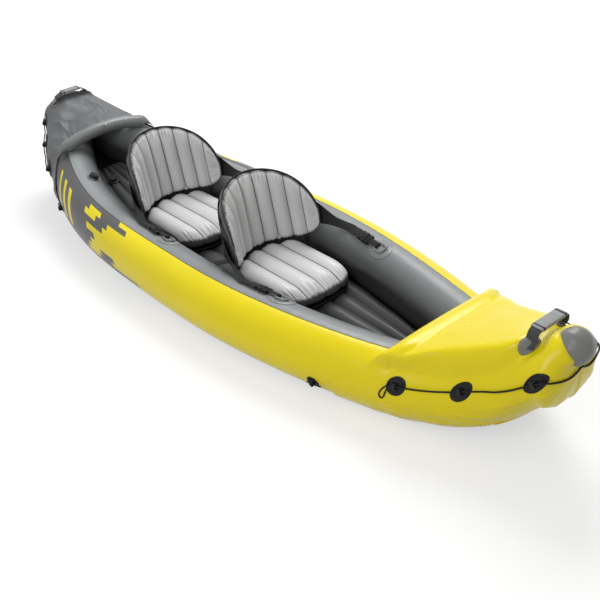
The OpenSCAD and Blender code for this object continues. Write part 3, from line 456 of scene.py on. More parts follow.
# Floor: a separate air mattress of five lengthwise chambers that lies on the bottom sheet.
# Its welds run fore and aft, and each chamber closes to a flat weld at the cockpit's two ends.
floor_h = 0.085
floor_chambers = 5
floor_aft = -1.25
floor_fore = 1.058
gap = 0.0004
floor_film = vinyl("floor_film", (0.068, 0.07, 0.07), 0.36, 0.55, 0.25, 0.2)


def floor_w(x):
    """Half width of the floor between the tubes."""
    return tube_y(x) - 0.9 * tube_a(x) - 0.003


def floor_half(u):
    """Half thickness across the floor: rounded chambers between the weld lines."""
    wave = np.abs(np.sin(np.pi / 2 * floor_chambers * (u + 1)))
    return (floor_h - sheet_t - gap) / 2 * (0.5 + 0.5 * wave**0.62)


def floor_mid(x):
    """Height of the floor's middle plane."""
    return keel(x) + sheet_t + gap + (floor_h - sheet_t - gap) / 2


x = np.linspace(floor_aft + 0.002, floor_fore - 0.002, 150)[:, None]
u = np.linspace(-1, 1, 91)[None]
end = np.minimum(ease((x - floor_aft) / 0.05), ease((floor_fore - x) / 0.05)) ** 0.5
puff = 0.0012 * ripple(x, u * 0.3, 11, 0.16) * end
full = mix(0.25, 1, end)
floor_top = grid(x, u * floor_w(x), floor_mid(x) + floor_half(u) * full + puff)
low = np.linspace(1, -1, 31)[1:-1][None]
floor_low = grid(x, low * floor_w(x), floor_mid(x) + 0.0011 - floor_half(0 * low) * full)
piece("air_floor", [closed(np.concatenate([floor_top, floor_low], 1))], [floor_film], "hull", "dark_pvc",
      "floor_chamber")

# Spray covers: sheets of vinyl welded over both ends, yellow at the bow and grey at the stern.
# Each is drawn down over the tubes to a hem below them and has two side ears along the cockpit.
cover_gap = 0.0034
cover_t = 0.0025
hem_gap = 0.0014
bow_edge = 1.013
bow_ear = 0.17
stern_edge = 1.233
stern_ear = 0.165
ridge_h = 0.048
bow_full = 0.022
stern_arch = 0.027
skirt_low = -60.0
cover_rows = 190
cover_cols = 231
chin_row = 138
deck_share = 0.46


def edge_x(sign, th):
    """Station of a cover's cockpit edge: forward on the deck, and swept back into an ear on the side."""
    w = ease((82 - th) / 100)
    return np.where(sign > 0, bow_edge - bow_ear * w, -stern_edge + stern_ear * w)


def deck_rise(d):
    """Height of the bow cover over the tubes at distance d from its edge: a quarter circle over the
    roll, then a full deck that eases down before the nose."""
    up = ridge_h * np.sqrt(np.clip(1 - (1 - np.clip(d, 0, 0.055) / 0.055) ** 2, 0, 1))
    full = ridge_h + bow_full * np.sin(np.pi * np.clip((d - 0.1) / 0.36, 0, 1))
    return np.where(d < 0.055, up, full * (1 - ease((d - 0.385) / 0.085)))


def cover_off(sign, x, th):
    """Height of a cover above the tube: the roll and full deck at the bow, full sides at the stern."""
    d = x - edge_x(1, th)
    bow = deck_rise(d) * ease((th - 44) / mix(16, 34, ease((d - 0.06) / 0.15)))
    stern = 0.02 * ease((-x - stern_edge + 0.06) / 0.16) * ease((75 - th) / 60) * ease((th + 60) / 50)
    return np.where(sign > 0, bow, stern)


def cov(x, th, off=0.0):
    """Point of a cover's outer face on the port side."""
    return surf(x, th, cover_gap + cover_t + off + cover_off(np.sign(x), x, th))


def cov_n(x, th, off=0.0):
    """Outward normal of a cover."""
    across = cov(x, th + 1, off) - cov(x, th - 1, off)
    return unit(np.cross(across, cov(x + 0.002, th, off) - cov(x - 0.002, th, off)))


def cov_up(x, th, d):
    """Point at height d square to a cover."""
    a = np.radians(th)
    n = cov_n(x, th)
    return cov(x, th, d / (n[..., 1] * np.cos(a) + n[..., 2] * np.sin(a)))


def camber(sign, x):
    """Crown of the deck between the tubes: slight at the bow, an arch that sinks aft at the stern."""
    s = ease((-x - stern_edge) / 0.19)
    stern = (stern_arch + 0.024) * (1 - s) - 0.014 * s * ease((tube_y(x) - 0.02) / 0.14)
    return blunt(x, 0) * np.where(sign > 0, 0.004 * ease((half_len - x) / 0.12), stern)


def low_th(x):
    """Lowest angle that a cover reaches: to the weld along the side, and right under at the end."""
    return mix(skirt_low, -89, ease((np.abs(x) - half_len + 0.15) / 0.165))


def cover_grid(sign):
    """Grid of a cover: rows from the cockpit edge to the tip, columns from hem to hem over the deck.
    Returns its points and, for the folds, the station, the angle, the length round from the middle,
    the distance from the edge and the share that the folds keep in the blunt end."""
    f = np.linspace(0, 1, cover_rows)[:, None]
    c = np.linspace(-1, 1, cover_cols)[None]
    a = np.clip((1 - np.abs(c)) / (1 - deck_share), 0, 1)
    q = np.clip(c / deck_share, -1, 1)
    side = np.where(c < 0, -1, 1)
    edge = edge_x(sign, mix(skirt_low, 90, a))
    main = 0.86
    run = np.clip(f / main, 0, 1)
    x = mix(edge, sign * half_len, mix(run, run**1.7, 0.5))
    th = mix(low_th(x), 90, a)
    hem = hem_gap - cover_gap + 0.0018 * ease((np.abs(x) - half_len + 0.15) / 0.06)
    hem = hem * (1 - ease(a / 0.1))
    o = cover_gap + cover_t + cover_off(sign, x, th) + hem
    t = np.sin(np.pi / 2 * np.clip((f - main) / (1 - main), 0, 0.992))
    k = (1 - t**end_power) ** (1 / end_power)
    at = np.where(f > main, sign * (half_len + (end_round + o) * t), x)
    p = section(np.where(f > main, sign * half_len, x), th, o, k, at)
    p[..., 1] *= side * np.abs(np.where(a < 1, 1, q))
    p[..., 2] += camber(sign, at) * (1 - q * q) * (a >= 1)
    x, th, q, far = np.broadcast_arrays(at, th, q * (a >= 1) + side * (a < 1), np.abs(at - edge))
    round_side = np.sign(q) * (tube_y(x) + np.radians(90 - th) * 0.13)
    arc = np.where(np.abs(q) < 1, q * tube_y(x), round_side)
    return p, x, th, arc, far, np.clip(k * 1.6 - 0.5, 0, 1)


def calm(x, th, spots):
    """1 away from the fittings and 0 on each, so that the film lies flat under them."""
    left = 1.0
    for spot_x, spot_th in spots:
        left = left * (1 - np.exp(-((((x - spot_x) / 0.05) ** 2 + ((th - spot_th) / 22) ** 2) ** 2)))
    return left


def chin(points):
    """Panel that joins a cover's two hems below the blunt end, from one row on to the tip."""
    a, b = points[chin_row:, :1], points[chin_row:, -1:]
    s = np.linspace(-0.06, 1.06, 13)[None, :, None]
    panel = mix(a, b, s)
    sag = 0.006 * (1 - (2 * s[..., 0] - 1) ** 2)
    panel[..., 2] += 0.0012 + sag * np.linspace(0, 1, len(panel))[:, None]
    return panel


def cover(name, points, folds, film, slot):
    """A spray cover from its grid and folds, with the panel below its tip and the film's thickness."""
    deck = raised(points, folds, (0, 0, 1))
    shells = [shell(deck, facing=(0, 0, 1)), shell(chin(deck), facing=(0, 0, -1))]
    made = piece(name + "_spray_cover", shells, [film], "hull", slot, name + "_cover")
    wall = made.modifiers.new("thickness", "SOLIDIFY")
    wall.thickness = cover_t
    wall.offset = -1.0


bow_holders = np.array([[bow_edge + 0.073, 24], [bow_edge + 0.279, 26], [half_len + 0.006, 6]])
stern_holders = np.array([[-stern_edge - 0.022, 10], [-stern_edge - 0.145, 14], [-half_len + 0.004, 10]])
bow_foot = (half_len - 0.062, 74.0)
stern_foot = (-half_len + 0.01, 60.0)
bow_film = vinyl("bow_film", yellow, 0.22, 0.36, 0.05, 0.03, 0.1)
stern_film = vinyl("stern_film", (0.135, 0.139, 0.144), 0.42, 0.58, 0.14, 0.08, 0.02)
p, x, th, arc, far, kept = cover_grid(1)
on_deck = ease((th - 50) / 25)
folds = -0.0042 * np.exp(-((far - 0.088) / 0.014) ** 2) * on_deck
behind_roll = np.exp(-((far - 0.15) / 0.06) ** 2) * on_deck
folds += 0.0011 * behind_roll * np.sin(arc / 0.02 + 3.0 * ripple(x, arc, 21, 0.3))
end_nip = np.exp(-((np.abs(arc) - 0.27) / 0.05) ** 2) * np.exp(-((far - 0.07) / 0.06) ** 2)
folds += 0.004 * end_nip * ripple(x, arc * 0.3, 22, 0.045)
low_side = ease((4 - th) / 25) * ease((th + 62) / 12) * ease((x - 0.9) / 0.15)
slack = ripple(x * 0.2, arc, 23, 0.075)
patchy = ease((ripple(x, arc, 27, 0.35) + 0.35) / 0.6)
folds += 0.0044 * low_side * (1 - np.abs(slack)) ** 3 * patchy
toe = ease((x - 1.4) / 0.1) * ease((25 - th) / 40)
tuck = ripple(x, arc, 24, 0.1)
folds += 0.0026 * toe * (1 - np.abs(tuck)) ** 2
folds += 0.0012 * ripple(x, arc, 25, 0.26) * ease(far / 0.12)
seam = th + 34 + 3 * ripple(x, 0 * x, 26, 0.8)
folds -= 0.0016 * np.exp(-((seam / 1.3) ** 2)) * ease((x - 0.9) / 0.1)
dashes = ease((np.sin(2 * np.pi * x / 0.066 + 1.5 * ripple(x, 0 * x, 28, 0.3)) - 0.45) / 0.25)
folds -= 0.0026 * np.exp(-(((seam - 9) / 1.1) ** 2)) * dashes * ease((x - 1.02) / 0.06)
folds *= kept * calm(x, th, (*bow_holders, bow_foot))
nose_r = 0.056
tip_z = float(tube_z(np.float64(half_len + end_round))) + nose_up
cap_mid = np.array([half_len + end_round - 0.016, 0, tip_z + 0.009])
from_cap = np.abs(np.linalg.norm(p - cap_mid, axis=-1) - nose_r)
folds += 0.016 * np.clip(1 - from_cap / 0.06, 0, 1) ** 2 * ease((th - 10) / 50)
cover("bow", p, folds, bow_film, "yellow_pvc")

p, x, th, arc, far, kept = cover_grid(-1)
gather = np.exp(-((far / 0.1) ** 1.5)) * ease((th - 25) / 40)
wave = arc / 0.016 + 5.0 * ripple(x * 0.25, arc, 31, 0.16)
folds = 0.0056 * gather * ease(far / 0.014) * (np.abs(np.sin(wave)) ** 0.6 - 0.6)
drape = ripple(x * 0.8 + np.abs(arc) * 0.5, arc * 0.7, 32, 0.12)
folds += 0.0085 * np.exp(-((far - 0.13) / 0.08) ** 2) * (1 - np.abs(drape)) ** 2 * ease((th - 30) / 40)
folds += 0.0026 * ripple(x, arc, 33, 0.17) * ease(far / 0.08)
side_slack = ripple(x, arc * 0.4, 34, 0.11)
folds += 0.0034 * ease((40 - th) / 40) * (1 - np.abs(side_slack)) ** 2
folds *= kept * calm(x, th, (*stern_holders, stern_foot))
cover("stern", p, folds, stern_film, "grey_pvc")


def frames(path, ref):
    """Tangent, side and up of each point of a path; side is square to the tangent and to ref."""
    t = unit(np.gradient(path, axis=0))
    s = unit(np.cross(np.broadcast_to(ref, t.shape), t))
    return t, s, np.cross(t, s)


def along(path):
    """Length from the start to each point of a path."""
    return np.concatenate([[0], np.cumsum(np.linalg.norm(np.diff(path, axis=0), axis=1))])


def ring_map(path, profile):
    """Map of a profile that is carried along a path: length along the path and round the profile."""
    return grid(along(path)[:, None], along(np.concatenate([profile, profile[:1]]))[None])


def carried(path, profile, size=1.0, ref=(0, 0, 1)):
    """Shell of a closed profile carried along a path. The profile's two columns run along side and up."""
    t, s, u = frames(path, np.array(ref, float))
    flat = s[:, None] * profile[None, :, :1] + u[:, None] * profile[None, :, 1:]
    points = path[:, None] + flat * np.broadcast_to(size, len(path))[:, None, None]
    return closed(points, ring_map(path, profile))


def circle(r, n):
    """Round profile of n points."""
    a = np.arange(n) * 2 * math.pi / n
    return np.stack([r * np.cos(a), r * np.sin(a)], 1)


def rounded(w, h, r, n=6):
    """Rectangle of w by h with corners of radius r, n points to a corner."""
    a = np.linspace(0, np.pi / 2, n) + np.arange(4)[:, None] * np.pi / 2
    x = (w / 2 - r) * np.array([[1], [-1], [-1], [1]]) + r * np.cos(a)
    y = (h / 2 - r) * np.array([[1], [1], [-1], [-1]]) + r * np.sin(a)
    return grid(x, y).reshape(-1, 2)


def curve(points, n):
    """Catmull-Rom curve of n points through the given ones."""
    p = np.array(points, float)
    p = np.concatenate([2 * p[:1] - p[1:2], p, 2 * p[-1:] - p[-2:-1]])
    t = np.linspace(0, len(p) - 3 - 1e-9, n)
    i = t.astype(int)
    f = (t - i)[:, None]
    a, b, c, d = p[i], p[i + 1], p[i + 2], p[i + 3]
    bend = (2 * a - 5 * b + 4 * c - d) * f**2 + (3 * b - a - 3 * c + d) * f**3
    return 0.5 * (2 * b + (c - a) * f + bend)


# Rolls: slim inflated tubes that hold the covers' cockpit edges up, one hidden under the bow cover
# and one in an arch from tube to tube before the stern cover, tapered where it is welded down.
stern_roll_r = 0.03
bow_roll_r = 0.019
roll_film = vinyl("roll_film", (0.2, 0.206, 0.208), 0.26, 0.42, 0.12, 0.12, 0.18)
roll_x = -stern_edge + stern_roll_r + 0.011
roll_th = np.array([52.0, 61, 70, 80, 91])
roll_r = stern_roll_r * mix(0.35, 1, ease((roll_th - 50) / 38))
roll_side = np.stack([surf(roll_x, t, r * 1.07 - 0.0001) for t, r in zip(roll_th, roll_r)])
arch_q = np.array([0.66, 0.33, 0, -0.33, -0.66])
arch_z = roll_side[-1, 2] + stern_arch * (1 - arch_q**2)
arch = grid(roll_x, arch_q * roll_side[-1, 1], arch_z)
roll_path = np.concatenate([roll_side, arch, flip(roll_side[::-1])])
roll_size = np.concatenate([roll_r, 0 * arch_q + stern_roll_r, roll_r[::-1]])
fine = curve(np.column_stack([roll_path, roll_size]), 180)
fine[:, 3] *= mix(0.14, 1, ease(np.minimum(np.arange(180), np.arange(180)[::-1]) / 52))
roll = carried(fine[:, :3], circle(1, 40), fine[:, 3], (1, 0, 0))
piece("stern_arch_roll", [roll], [roll_film], "hull", "grey_pvc", "stern_roll")
bow_roll_x = bow_edge + 0.05
q = np.linspace(-1, 1, 60)
bow_roll_path = grid(bow_roll_x, q * (tube_y(bow_roll_x) + 0.012), sheer(bow_roll_x) + gap + bow_roll_r)
bow_roll_size = np.clip(1 - np.abs(q) ** 30, 0.3, 1) ** 0.5
roll = carried(bow_roll_path, circle(bow_roll_r, 24), bow_roll_size, (1, 0, 0))
piece("bow_edge_roll", [roll], [bow_film], "hull", "yellow_pvc", "bow_roll")

# Nose cap: a moulded grey dome glued over the bow's tip, where the cover's folds meet.
# Its rim is cut to the shape of the bow and ends in a small rounded lip.
cap_rubber = vinyl("cap_rubber", (0.21, 0.212, 0.2), 0.3, 0.42, 0.3, 0.25, 0.1)


def inside_bow(points, off):
    """Below 0 inside the bow's end form off outside the tubes, from the equation of its sections."""
    x = points[..., 0]
    k = np.maximum(blunt(x, off), 1e-4)
    y = np.clip(np.abs(points[..., 1]) / k - tube_y(x), 0, None) / (tube_a(x) + off)
    z = (points[..., 2] - tube_z(x) - nose_up * (1 - k)) / ((tube_b(x) + off) * k)
    past = np.abs(x) > half_len + end_round + off - 1e-4
    return np.where(past, 1.0, y * y + z * z - 1)


cap_axis = unit(np.array([1.0, 0, 0.5]))
cap_side = np.array([0.0, 1, 0])
cap_up = np.cross(cap_axis, cap_side)
turn = np.linspace(0, 2 * math.pi, 97)[:-1]
spoke = np.cos(turn)[:, None] * cap_side + np.sin(turn)[:, None] * cap_up
low_a, high_a = np.full(96, 0.2), np.full(96, 2.6)


def on_cap(angle, size=1.0):
    """Points of the cap's sphere along its spokes, at an angle from its axis."""
    away = np.cos(angle)[..., None] * cap_axis + np.sin(angle)[..., None] * spoke
    return cap_mid + nose_r * size * away


for step in range(30):
    mid_a = (low_a + high_a) / 2
    out = inside_bow(on_cap(mid_a), cover_gap + cover_t + 0.0012) > 0
    low_a, high_a = np.where(out, mid_a, low_a), np.where(out, high_a, mid_a)
ring = np.concatenate([np.linspace(0.02, 0.93, 26), np.linspace(0.945, 1, 8)])[:, None]
lip = 1 + 0.02 * np.exp(-((ring - 0.972) / 0.012) ** 2) - 0.05 * ease((ring - 0.985) / 0.015)
dome = on_cap(low_a * ring, lip[..., None])
dent = 0.0016 * ripple(dome[..., 1], dome[..., 2], 41, 0.05)
dome = dome + unit(dome - cap_mid) * dent[..., None]
back = cap_mid + (dome[-1:] - cap_mid) * 0.93
inner = cap_mid + (back - cap_mid) * 0.8
piece("nose_dome", [closed(np.concatenate([dome, back, inner]))], [cap_rubber], "hull", "grey_plastic",
      "nose_cap")


def webbing(name, colour, step=0.0022, shine=0.55):
    """Woven strap: two sets of ribs across the strap's own map and a faint sheen. Painted highlight makes
    the rib tops lighter and painted shade the hollows darker, over a random fuzz of tone.
    """
    made, tree, shader = new_material(name)
    u, v, _ = own_map(tree)
    lean = calc(tree, "MULTIPLY_ADD", v, 0.6, u)
    rib = calc(tree, "SINE", calc(tree, "MULTIPLY", lean, full_turn / step))
    cross = calc(tree, "SINE", calc(tree, "MULTIPLY", v, full_turn / (step * 1.3)))
    weave = calc(tree, "MULTIPLY_ADD", rib, 0.3, calc(tree, "MULTIPLY_ADD", cross, 0.2, 0.5))
    fuzz = noise(tree, node(tree, "ShaderNodeTexCoord").outputs["Object"], 240.0, 3.0)
    tone = calc(tree, "MULTIPLY_ADD", weave, 0.7, calc(tree, "MULTIPLY", fuzz, 0.7))
    # Painted highlight and shade: the colour runs from 0.55 to 1.6 times the strap's own with the rib
    # height.
    dark = (*(c * 0.55 for c in colour), 1)
    light = (*(min(1.0, c * 1.6) for c in colour), 1)
    bump = node(tree, "ShaderNodeBump", {"Height": weave, "Strength": 0.6, "Distance": 0.0006})
    feed(tree, shader, {
        "Base Color": blend_colour(tree, tone, dark, light),
        "Roughness": ramp(tree, fuzz, 0.0, 1.0, shine, shine + 0.25),
        "Normal": bump.outputs[0],
        "Sheen Weight": 0.02,
        "Specular IOR Level": 0.12})
    return made


def moulded(name, colour, smooth=0.3, dull=0.5, grain=0.3):
    """Moulded plastic: the vinyl group's marks on a finer, more even ground."""
    return vinyl(name, colour, smooth, dull, 0.3, grain, 0.05)


def stand(x, th, off, on_cover):
    """A place on the port side and its axes: forward, sideways and outward."""
    at = cov_up if on_cover else surf
    x, th = np.float64(x), np.float64(th)
    forward = unit(at(x + 0.002, th, off) - at(x - 0.002, th, off))
    out = unit(np.cross(at(x, th + 1, off) - at(x, th - 1, off), forward))
    return at(x, th, off), forward, np.cross(out, forward), out


def put(points, spot):
    """Points given along a place's own axes, in the hull's frame."""
    p, a, b, c = spot
    return p + points[..., :1] * a + points[..., 1:2] * b + points[..., 2:] * c


def pad(x, th, r1, r2, off, profile, on_cover, turns=56):
    """Round pad that follows the hull: the profile's rows are the share of its radius and the height."""
    a = np.arange(turns) * 2 * math.pi / turns
    rho, h = profile[:, :1], profile[:, 1:]
    per = 180 / math.pi / ((tube_a(x) + tube_b(x)) / 2 + off)
    at = cov_up if on_cover else surf
    return at(x + rho * r1 * np.cos(a), th + rho * r2 * np.sin(a) * per, off + h)


def slab(outline, levels):
    """Solid from an outline lofted through levels of height and inset share, along its own axes."""
    mid = outline.mean(axis=0)
    z, inset = np.array(levels, float).T[..., None]
    x, y = (mid + (outline - mid) * (1 - inset[..., None])).transpose(2, 0, 1)
    return grid(x, y, z)


def twins(shells, points):
    """Adds the closed shell of some points and of their mirror image to a list."""
    shells += [closed(points), closed(flip(points))]


# Rope holders: round black mouldings welded to the covers, each with a wedge-shaped clip over the rope.
# A pair of smaller ones tie the rope's ends to the tubes beside the cockpit.
black_mould = moulded("black_mould", (0.012, 0.012, 0.0125), 0.28, 0.5)
holder_r = 0.032
disc_t = 0.003
rope_d = 0.006
bow_tie = (bow_edge - 0.245, -21.0)
stern_tie = (-stern_edge + 0.205, -8.0)
clip_base = disc_t + 4 * gap
clip_bore = rope_d + 0.0022
clip_z = clip_base + 0.002 + clip_bore / 2
disc_profile = np.array([
    [0.02, -0.0016], [0.5, -0.0016], [0.98, -0.0016], [1, -0.001], [1, 0.0012], [0.985, 0.0022],
    [0.95, 0.003], [0.88, 0.0032], [0.82, 0.003], [0.79, 0.0022], [0.74, 0.0019], [0.5, 0.0021],
    [0.3, 0.0024], [0.02, 0.0024]])
discs = []
clips = []
for x, th in (*bow_holders, *stern_holders, bow_tie, stern_tie):
    covered = (x, th) not in (bow_tie, stern_tie)
    r = holder_r if covered else holder_r * 0.72
    twins(discs, pad(x, th, r, r, 2 * gap, disc_profile, covered))
    spot = stand(x, th, clip_z, covered)
    foot = 2 * gap + 0.0018 - clip_z
    for cheek in (-1, 1):
        outline = rounded(0.019, 0.0052, 0.0018, 4) + np.array([0, cheek * 0.0083])
        levels = [(0, -0.35), (0.0015, -0.1), (0.008, 0.02), (0.0115, 0.1), (0.0126, 0.2)]
        twins(clips, put(slab(outline, levels) + (0, 0, foot), spot))
    lid = slab(rounded(0.015, 0.0205, 0.003, 5),
               [(0.0114, 0.06), (0.012, 0), (0.0138, 0.03), (0.0146, 0.12), (0.0148, 0.3)])
    lid[..., 2] += 0.0026 * np.clip(lid[..., 0] / 0.0075, -1, 1) * (lid[..., 2] > 0.0125)
    twins(clips, put(lid + (0, 0, foot), spot))
piece("rope_holder_plates", discs, [black_mould], "hull", "black_plastic", "rope_holder_discs")
piece("rope_holder_wedges", clips, [black_mould], "hull", "black_plastic", "rope_holder_clips")

# Grab ropes: black braided cord held by the clips round each end of the boat, drawn taut.
# Short knotted tails of the same cord hang from the two small holders on each side.
rope_braid = webbing("rope_braid", (0.014, 0.014, 0.015), 0.0034, 0.6)
rope_low = rope_d / 2 + 0.0024
rope_steps = [(0.45, 5), (0.62, 0), (0.76, -9), (0.86, -22), (0.93, -44), (0.965, -68), (0.978, -88)]


def rope_turn(x, a, b):
    """Angle of the rope between two holders: eased, and level near each."""
    way = np.abs(x - a[0]) * np.sign((x - a[0]) * (b[0] - a[0]))
    return mix(a[1], b[1], ease((way - 0.018) / (abs(b[0] - a[0]) - 0.036)))


def rope_line(sign, hs):
    """Line of one rope: through the side clips, then down round the blunt end, then mirrored."""
    knots = [hs[0][0] - sign * 0.018]
    for a, b in ((hs[0][0], hs[1][0]), (hs[1][0], hs[2][0])):
        f = 0.015 / abs(b - a)
        knots += [mix(a, b, u) for u in (0, f, 0.31, 0.5, 0.69, 1 - f)]
    x = np.array(knots + [hs[2][0], hs[2][0] + sign * 0.015])
    th = np.where(np.abs(x) < abs(hs[1][0]), rope_turn(x, hs[0], hs[1]), rope_turn(x, hs[1], hs[2]))
    near = np.abs(x[:, None] - hs[None, :, 0]).min(axis=1)
    side = cov_up(x, th, mix(clip_z, rope_low, ease((near - 0.024) / 0.048)))
    q, a = np.array(rope_steps).T
    lift = mix(clip_z, rope_low, ease((q - 0.55) / 0.25))
    o = cover_gap + cover_t + lift + cover_off(sign, sign * half_len + 0 * a, a)
    e = sign * (half_len + (end_round + o) * q)
    front = section(e, a, o, blunt(e, o), e)
    front = np.concatenate([front, front[-1:] * (1, 0, 1) + (sign * 0.0006, 0, 0)])
    half = np.concatenate([side, front])
    return np.concatenate([half, flip(half[-2::-1])])


def cord(name, path, d, far_end, lay, *nodes, ref=(0, 0, 1)):
    """A cord of diameter d along a path."""
    run = carried(path, circle(d / 2, 10), 1.0, ref)
    made = piece(name, [run], [rope_braid], "hull", "black_rope", *nodes)


for name, sign, hs, tie in (("bow", 1, bow_holders, bow_tie), ("stern", -1, stern_holders, stern_tie)):
    cord(name + "_grab_rope", curve(rope_line(sign, hs), 420), rope_d, "object", "taut", name + "_rope")
    x = tie[0] + sign * np.array([-0.018, 0, 0.015, 0.026, 0.038])
    down = ease((np.abs(x - tie[0]) - 0.016) / 0.022)
    off = mix(clip_z - 0.0005, rope_d / 2 + disc_t + 0.003, down)
    tail = curve(surf(x, 0 * x + tie[1], off), 40)
    cord(name + "_port_rope_tail", tail, rope_d, "knot", "hanging")
    cord(name + "_starboard_rope_tail", flip(tail), rope_d, "knot", "hanging")
hx, hth = bow_holders[0]
steps = np.array([
    (-0.018, 0, 0.0105), (-0.03, -3, 0.0075), (-0.044, -10, 0.0045), (-0.05, -18, 0.0042),
    (-0.043, -23, 0.0042), (-0.034, -20, 0.0045), (-0.029, -13, 0.006), (-0.024, -7, 0.0078)])
loop = curve(cov_up(hx + steps[:, 0], hth + steps[:, 1], steps[:, 2]), 60)
cord("bow_port_rope_loop", loop, rope_d * 0.8, "object", "hanging", ref=(1, 0, 0))
cord("bow_starboard_rope_loop", flip(loop), rope_d * 0.8, "object", "hanging", ref=(1, 0, 0))

# Carrying handles: dark webbing that stands over the deck at each end on two round welded feet.
# A moulded grey grip with a ribbed top is threaded on the webbing between them.
handle_w = 0.038
handle_t = 0.003
foot_t = 0.003
foot_off = 5 * gap
foot_top = foot_off + foot_t + gap
handle_web = webbing("handle_web", (0.06, 0.06, 0.061))
grip_rubber = moulded("grip_rubber", (0.3, 0.303, 0.3), 0.36, 0.55)
grip_dark = moulded("grip_dark", (0.03, 0.03, 0.031), 0.4, 0.6)
foot_vinyl = vinyl("foot_vinyl", (0.2, 0.2, 0.196), 0.35, 0.5, 0.2, 0.2)
foot_profile = np.array([
    [0.02, -0.0024], [0.6, -0.0024], [1, -0.0024], [1, 0.0014], [0.97, 0.0024], [0.9, 0.0028],
    [0.84, 0.0025], [0.8, 0.0029], [0.4, 0.003], [0.02, 0.003]])
cap_profile = np.array([
    [0.02, 0], [0.97, 0], [1, 0.0006], [0.97, 0.0017], [0.86, 0.0023], [0.4, 0.0028], [0.02, 0.0029]])
foot_r = handle_w / 2 + 0.005
cap_r = 0.0165
feet = []
for name, foot, rise, seat, long in (("bow", bow_foot, 0.036, -0.0014, 0.118),
                                     ("stern", stern_foot, 0.02, -0.0003, 0.0944)):
    x, th = np.float64(foot[0]), np.float64(foot[1])
    twins(feet, pad(x, th, foot_r, foot_r, foot_off, foot_profile, True))
    twins(feet, pad(x, th, cap_r, cap_r, foot_off + foot_t + handle_t, cap_profile, True))
    n = cov_n(x, th, foot_top)
    pivot = cov(x, th, foot_top) + n * (handle_w / 2 + seat)
    base = cov_up(x, th, foot_off + foot_t + handle_t / 2 + 0.0003)
    inward = unit(cov(x, th + 1, foot_top) - cov(x, th - 1, foot_top))
    hold = np.array([pivot[0], long / 2, pivot[2] + rise])
    corner = hold + (0, 0.0075, -0.006)
    lifts = base + inward * 0.0175 + n * 0.011
    leg = curve([
        base - inward * 0.0185 - n * 0.0004,
        base - inward * 0.008,
        base + inward * 0.004,
        base + inward * 0.0125 + n * 0.0035,
        lifts,
        mix(lifts, corner, 0.5) + (0, 0.0015, 0),
        corner,
        hold - (0, 0.003, 0)], 70)
    across = np.linspace(leg[-1, 1], -leg[-1, 1], 26)[1:-1]
    path = np.concatenate([leg, grid(pivot[0], across, hold[2]), flip(leg[::-1])])
    web = carried(path, rounded(handle_t, handle_w, 0.0012, 4), 1.0, (1, 0, 0))
    strap = piece(name + "_handle_webbing", [web], [handle_web], None, "grey_plastic",
                  name + "_handle_strap")
    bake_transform(strap)
    s = np.concatenate([[-0.5, -0.497, -0.49], np.linspace(-0.48, 0.48, 61), [0.49, 0.497, 0.5]])[:, None]
    end = np.sqrt(np.clip(1 - (np.clip(np.abs(s) - 0.46, 0, None) / 0.04) ** 2, 0.3, 1))
    ring_x, ring_up = rounded(handle_w + 0.005, 0.0115, 0.0045, 7).T
    rib = 0.0009 * np.sin(s * long * 2 * math.pi / 0.0062) * (np.abs(s) < 0.34) * (ring_up > 0.004)
    grip = [closed(grid(pivot[0] + ring_x * mix(0.86, 1, end), s * long,
                        hold[2] + ring_up * mix(0.55, 1, end) + rib))]
    for side in (-0.42, 0.42):
        w = np.linspace(-0.035, 0.035, 7)[:, None]
        swell = 1 + 0.035 * np.sqrt(np.clip(1 - (w / 0.035) ** 2, 0, 1))
        band = grid(pivot[0] + ring_x * swell, (side + w) * long, hold[2] + ring_up * swell * 1.03)
        grip.append(closed(band, None, 1))
    piece(name + "_handle_hold", grip, [grip_rubber, grip_dark], name + "_handle", "grey_plastic",
          name + "_handle_grip")
piece("handle_foot_discs", feet, [foot_vinyl], "hull", "grey_plastic", "handle_feet")

# Seats: a cushion of four lengthwise air channels on a black padded base, and a half-round backrest
# of nine upright channels, both of silver vinyl welded flat round the rim, where the film gathers.
seat_front = 0.445
seat_half = 0.166
seat_t = 0.088
seat_channels = 4
base_t = 0.009
back_r = 0.215
back_h = 0.3
back_wrap = 80.0
back_t = 0.056
back_channels = 9
back_lean = 9.0
arc_x = seat_front - 0.22
base_z = floor_h + gap
cushion_z = base_z + base_t + gap
back_z = cushion_z + seat_t + 0.004
seat_r = back_r - 0.0018
back_low = 0.1
rim_t = 0.004
seat_step = 0.69
rear_up = float(keel(np.float64(arc_x - back_r - 0.003 - seat_step))) + 0.0002
seat_shift = {"front": np.array([0, 0, 0]), "rear": np.array([-seat_step, 0, rear_up])}
back_cloth = vinyl("back_cloth", (0.035, 0.035, 0.0355), 0.45, 0.62, 0.3, 0.3, 0.0)
base_cloth = vinyl("base_cloth", (0.008, 0.008, 0.0085), 0.5, 0.65, 0.3, 0.3, 0.0)


def welded(count):
    """Silver film over the piece's own map, with thin dark lines of painted shade along its welds and
    rim.
    """
    def paint(tree):
        u, v, _ = own_map(tree)
        off = calc(tree, "PINGPONG", calc(tree, "MULTIPLY", calc(tree, "ADD", u, 1.0), count / 2), 0.5)
        rim = calc(tree, "MINIMUM", v, calc(tree, "SUBTRACT", 1.0, v))
        clear = calc(tree, "MULTIPLY", ramp(tree, off, 0.004, 0.045), ramp(tree, rim, 0.004, 0.022))
        # Painted shade: dark grey in the weld creases and along the rim, silver elsewhere.
        return blend_colour(tree, clear, (0.11, 0.11, 0.112, 1), (0.66, 0.66, 0.665, 1))
    return paint


def seat_rear(y):
    """Rear edge of the cushion: a circle a little inside the backrest."""
    return arc_x - np.sqrt(seat_r**2 - y**2)


def seat_edge(y):
    """Front edge of the cushion: nearly straight, with rounded corners."""
    q = np.abs(y) / seat_half
    return seat_front - 0.022 * q**2 - 0.055 * q**6


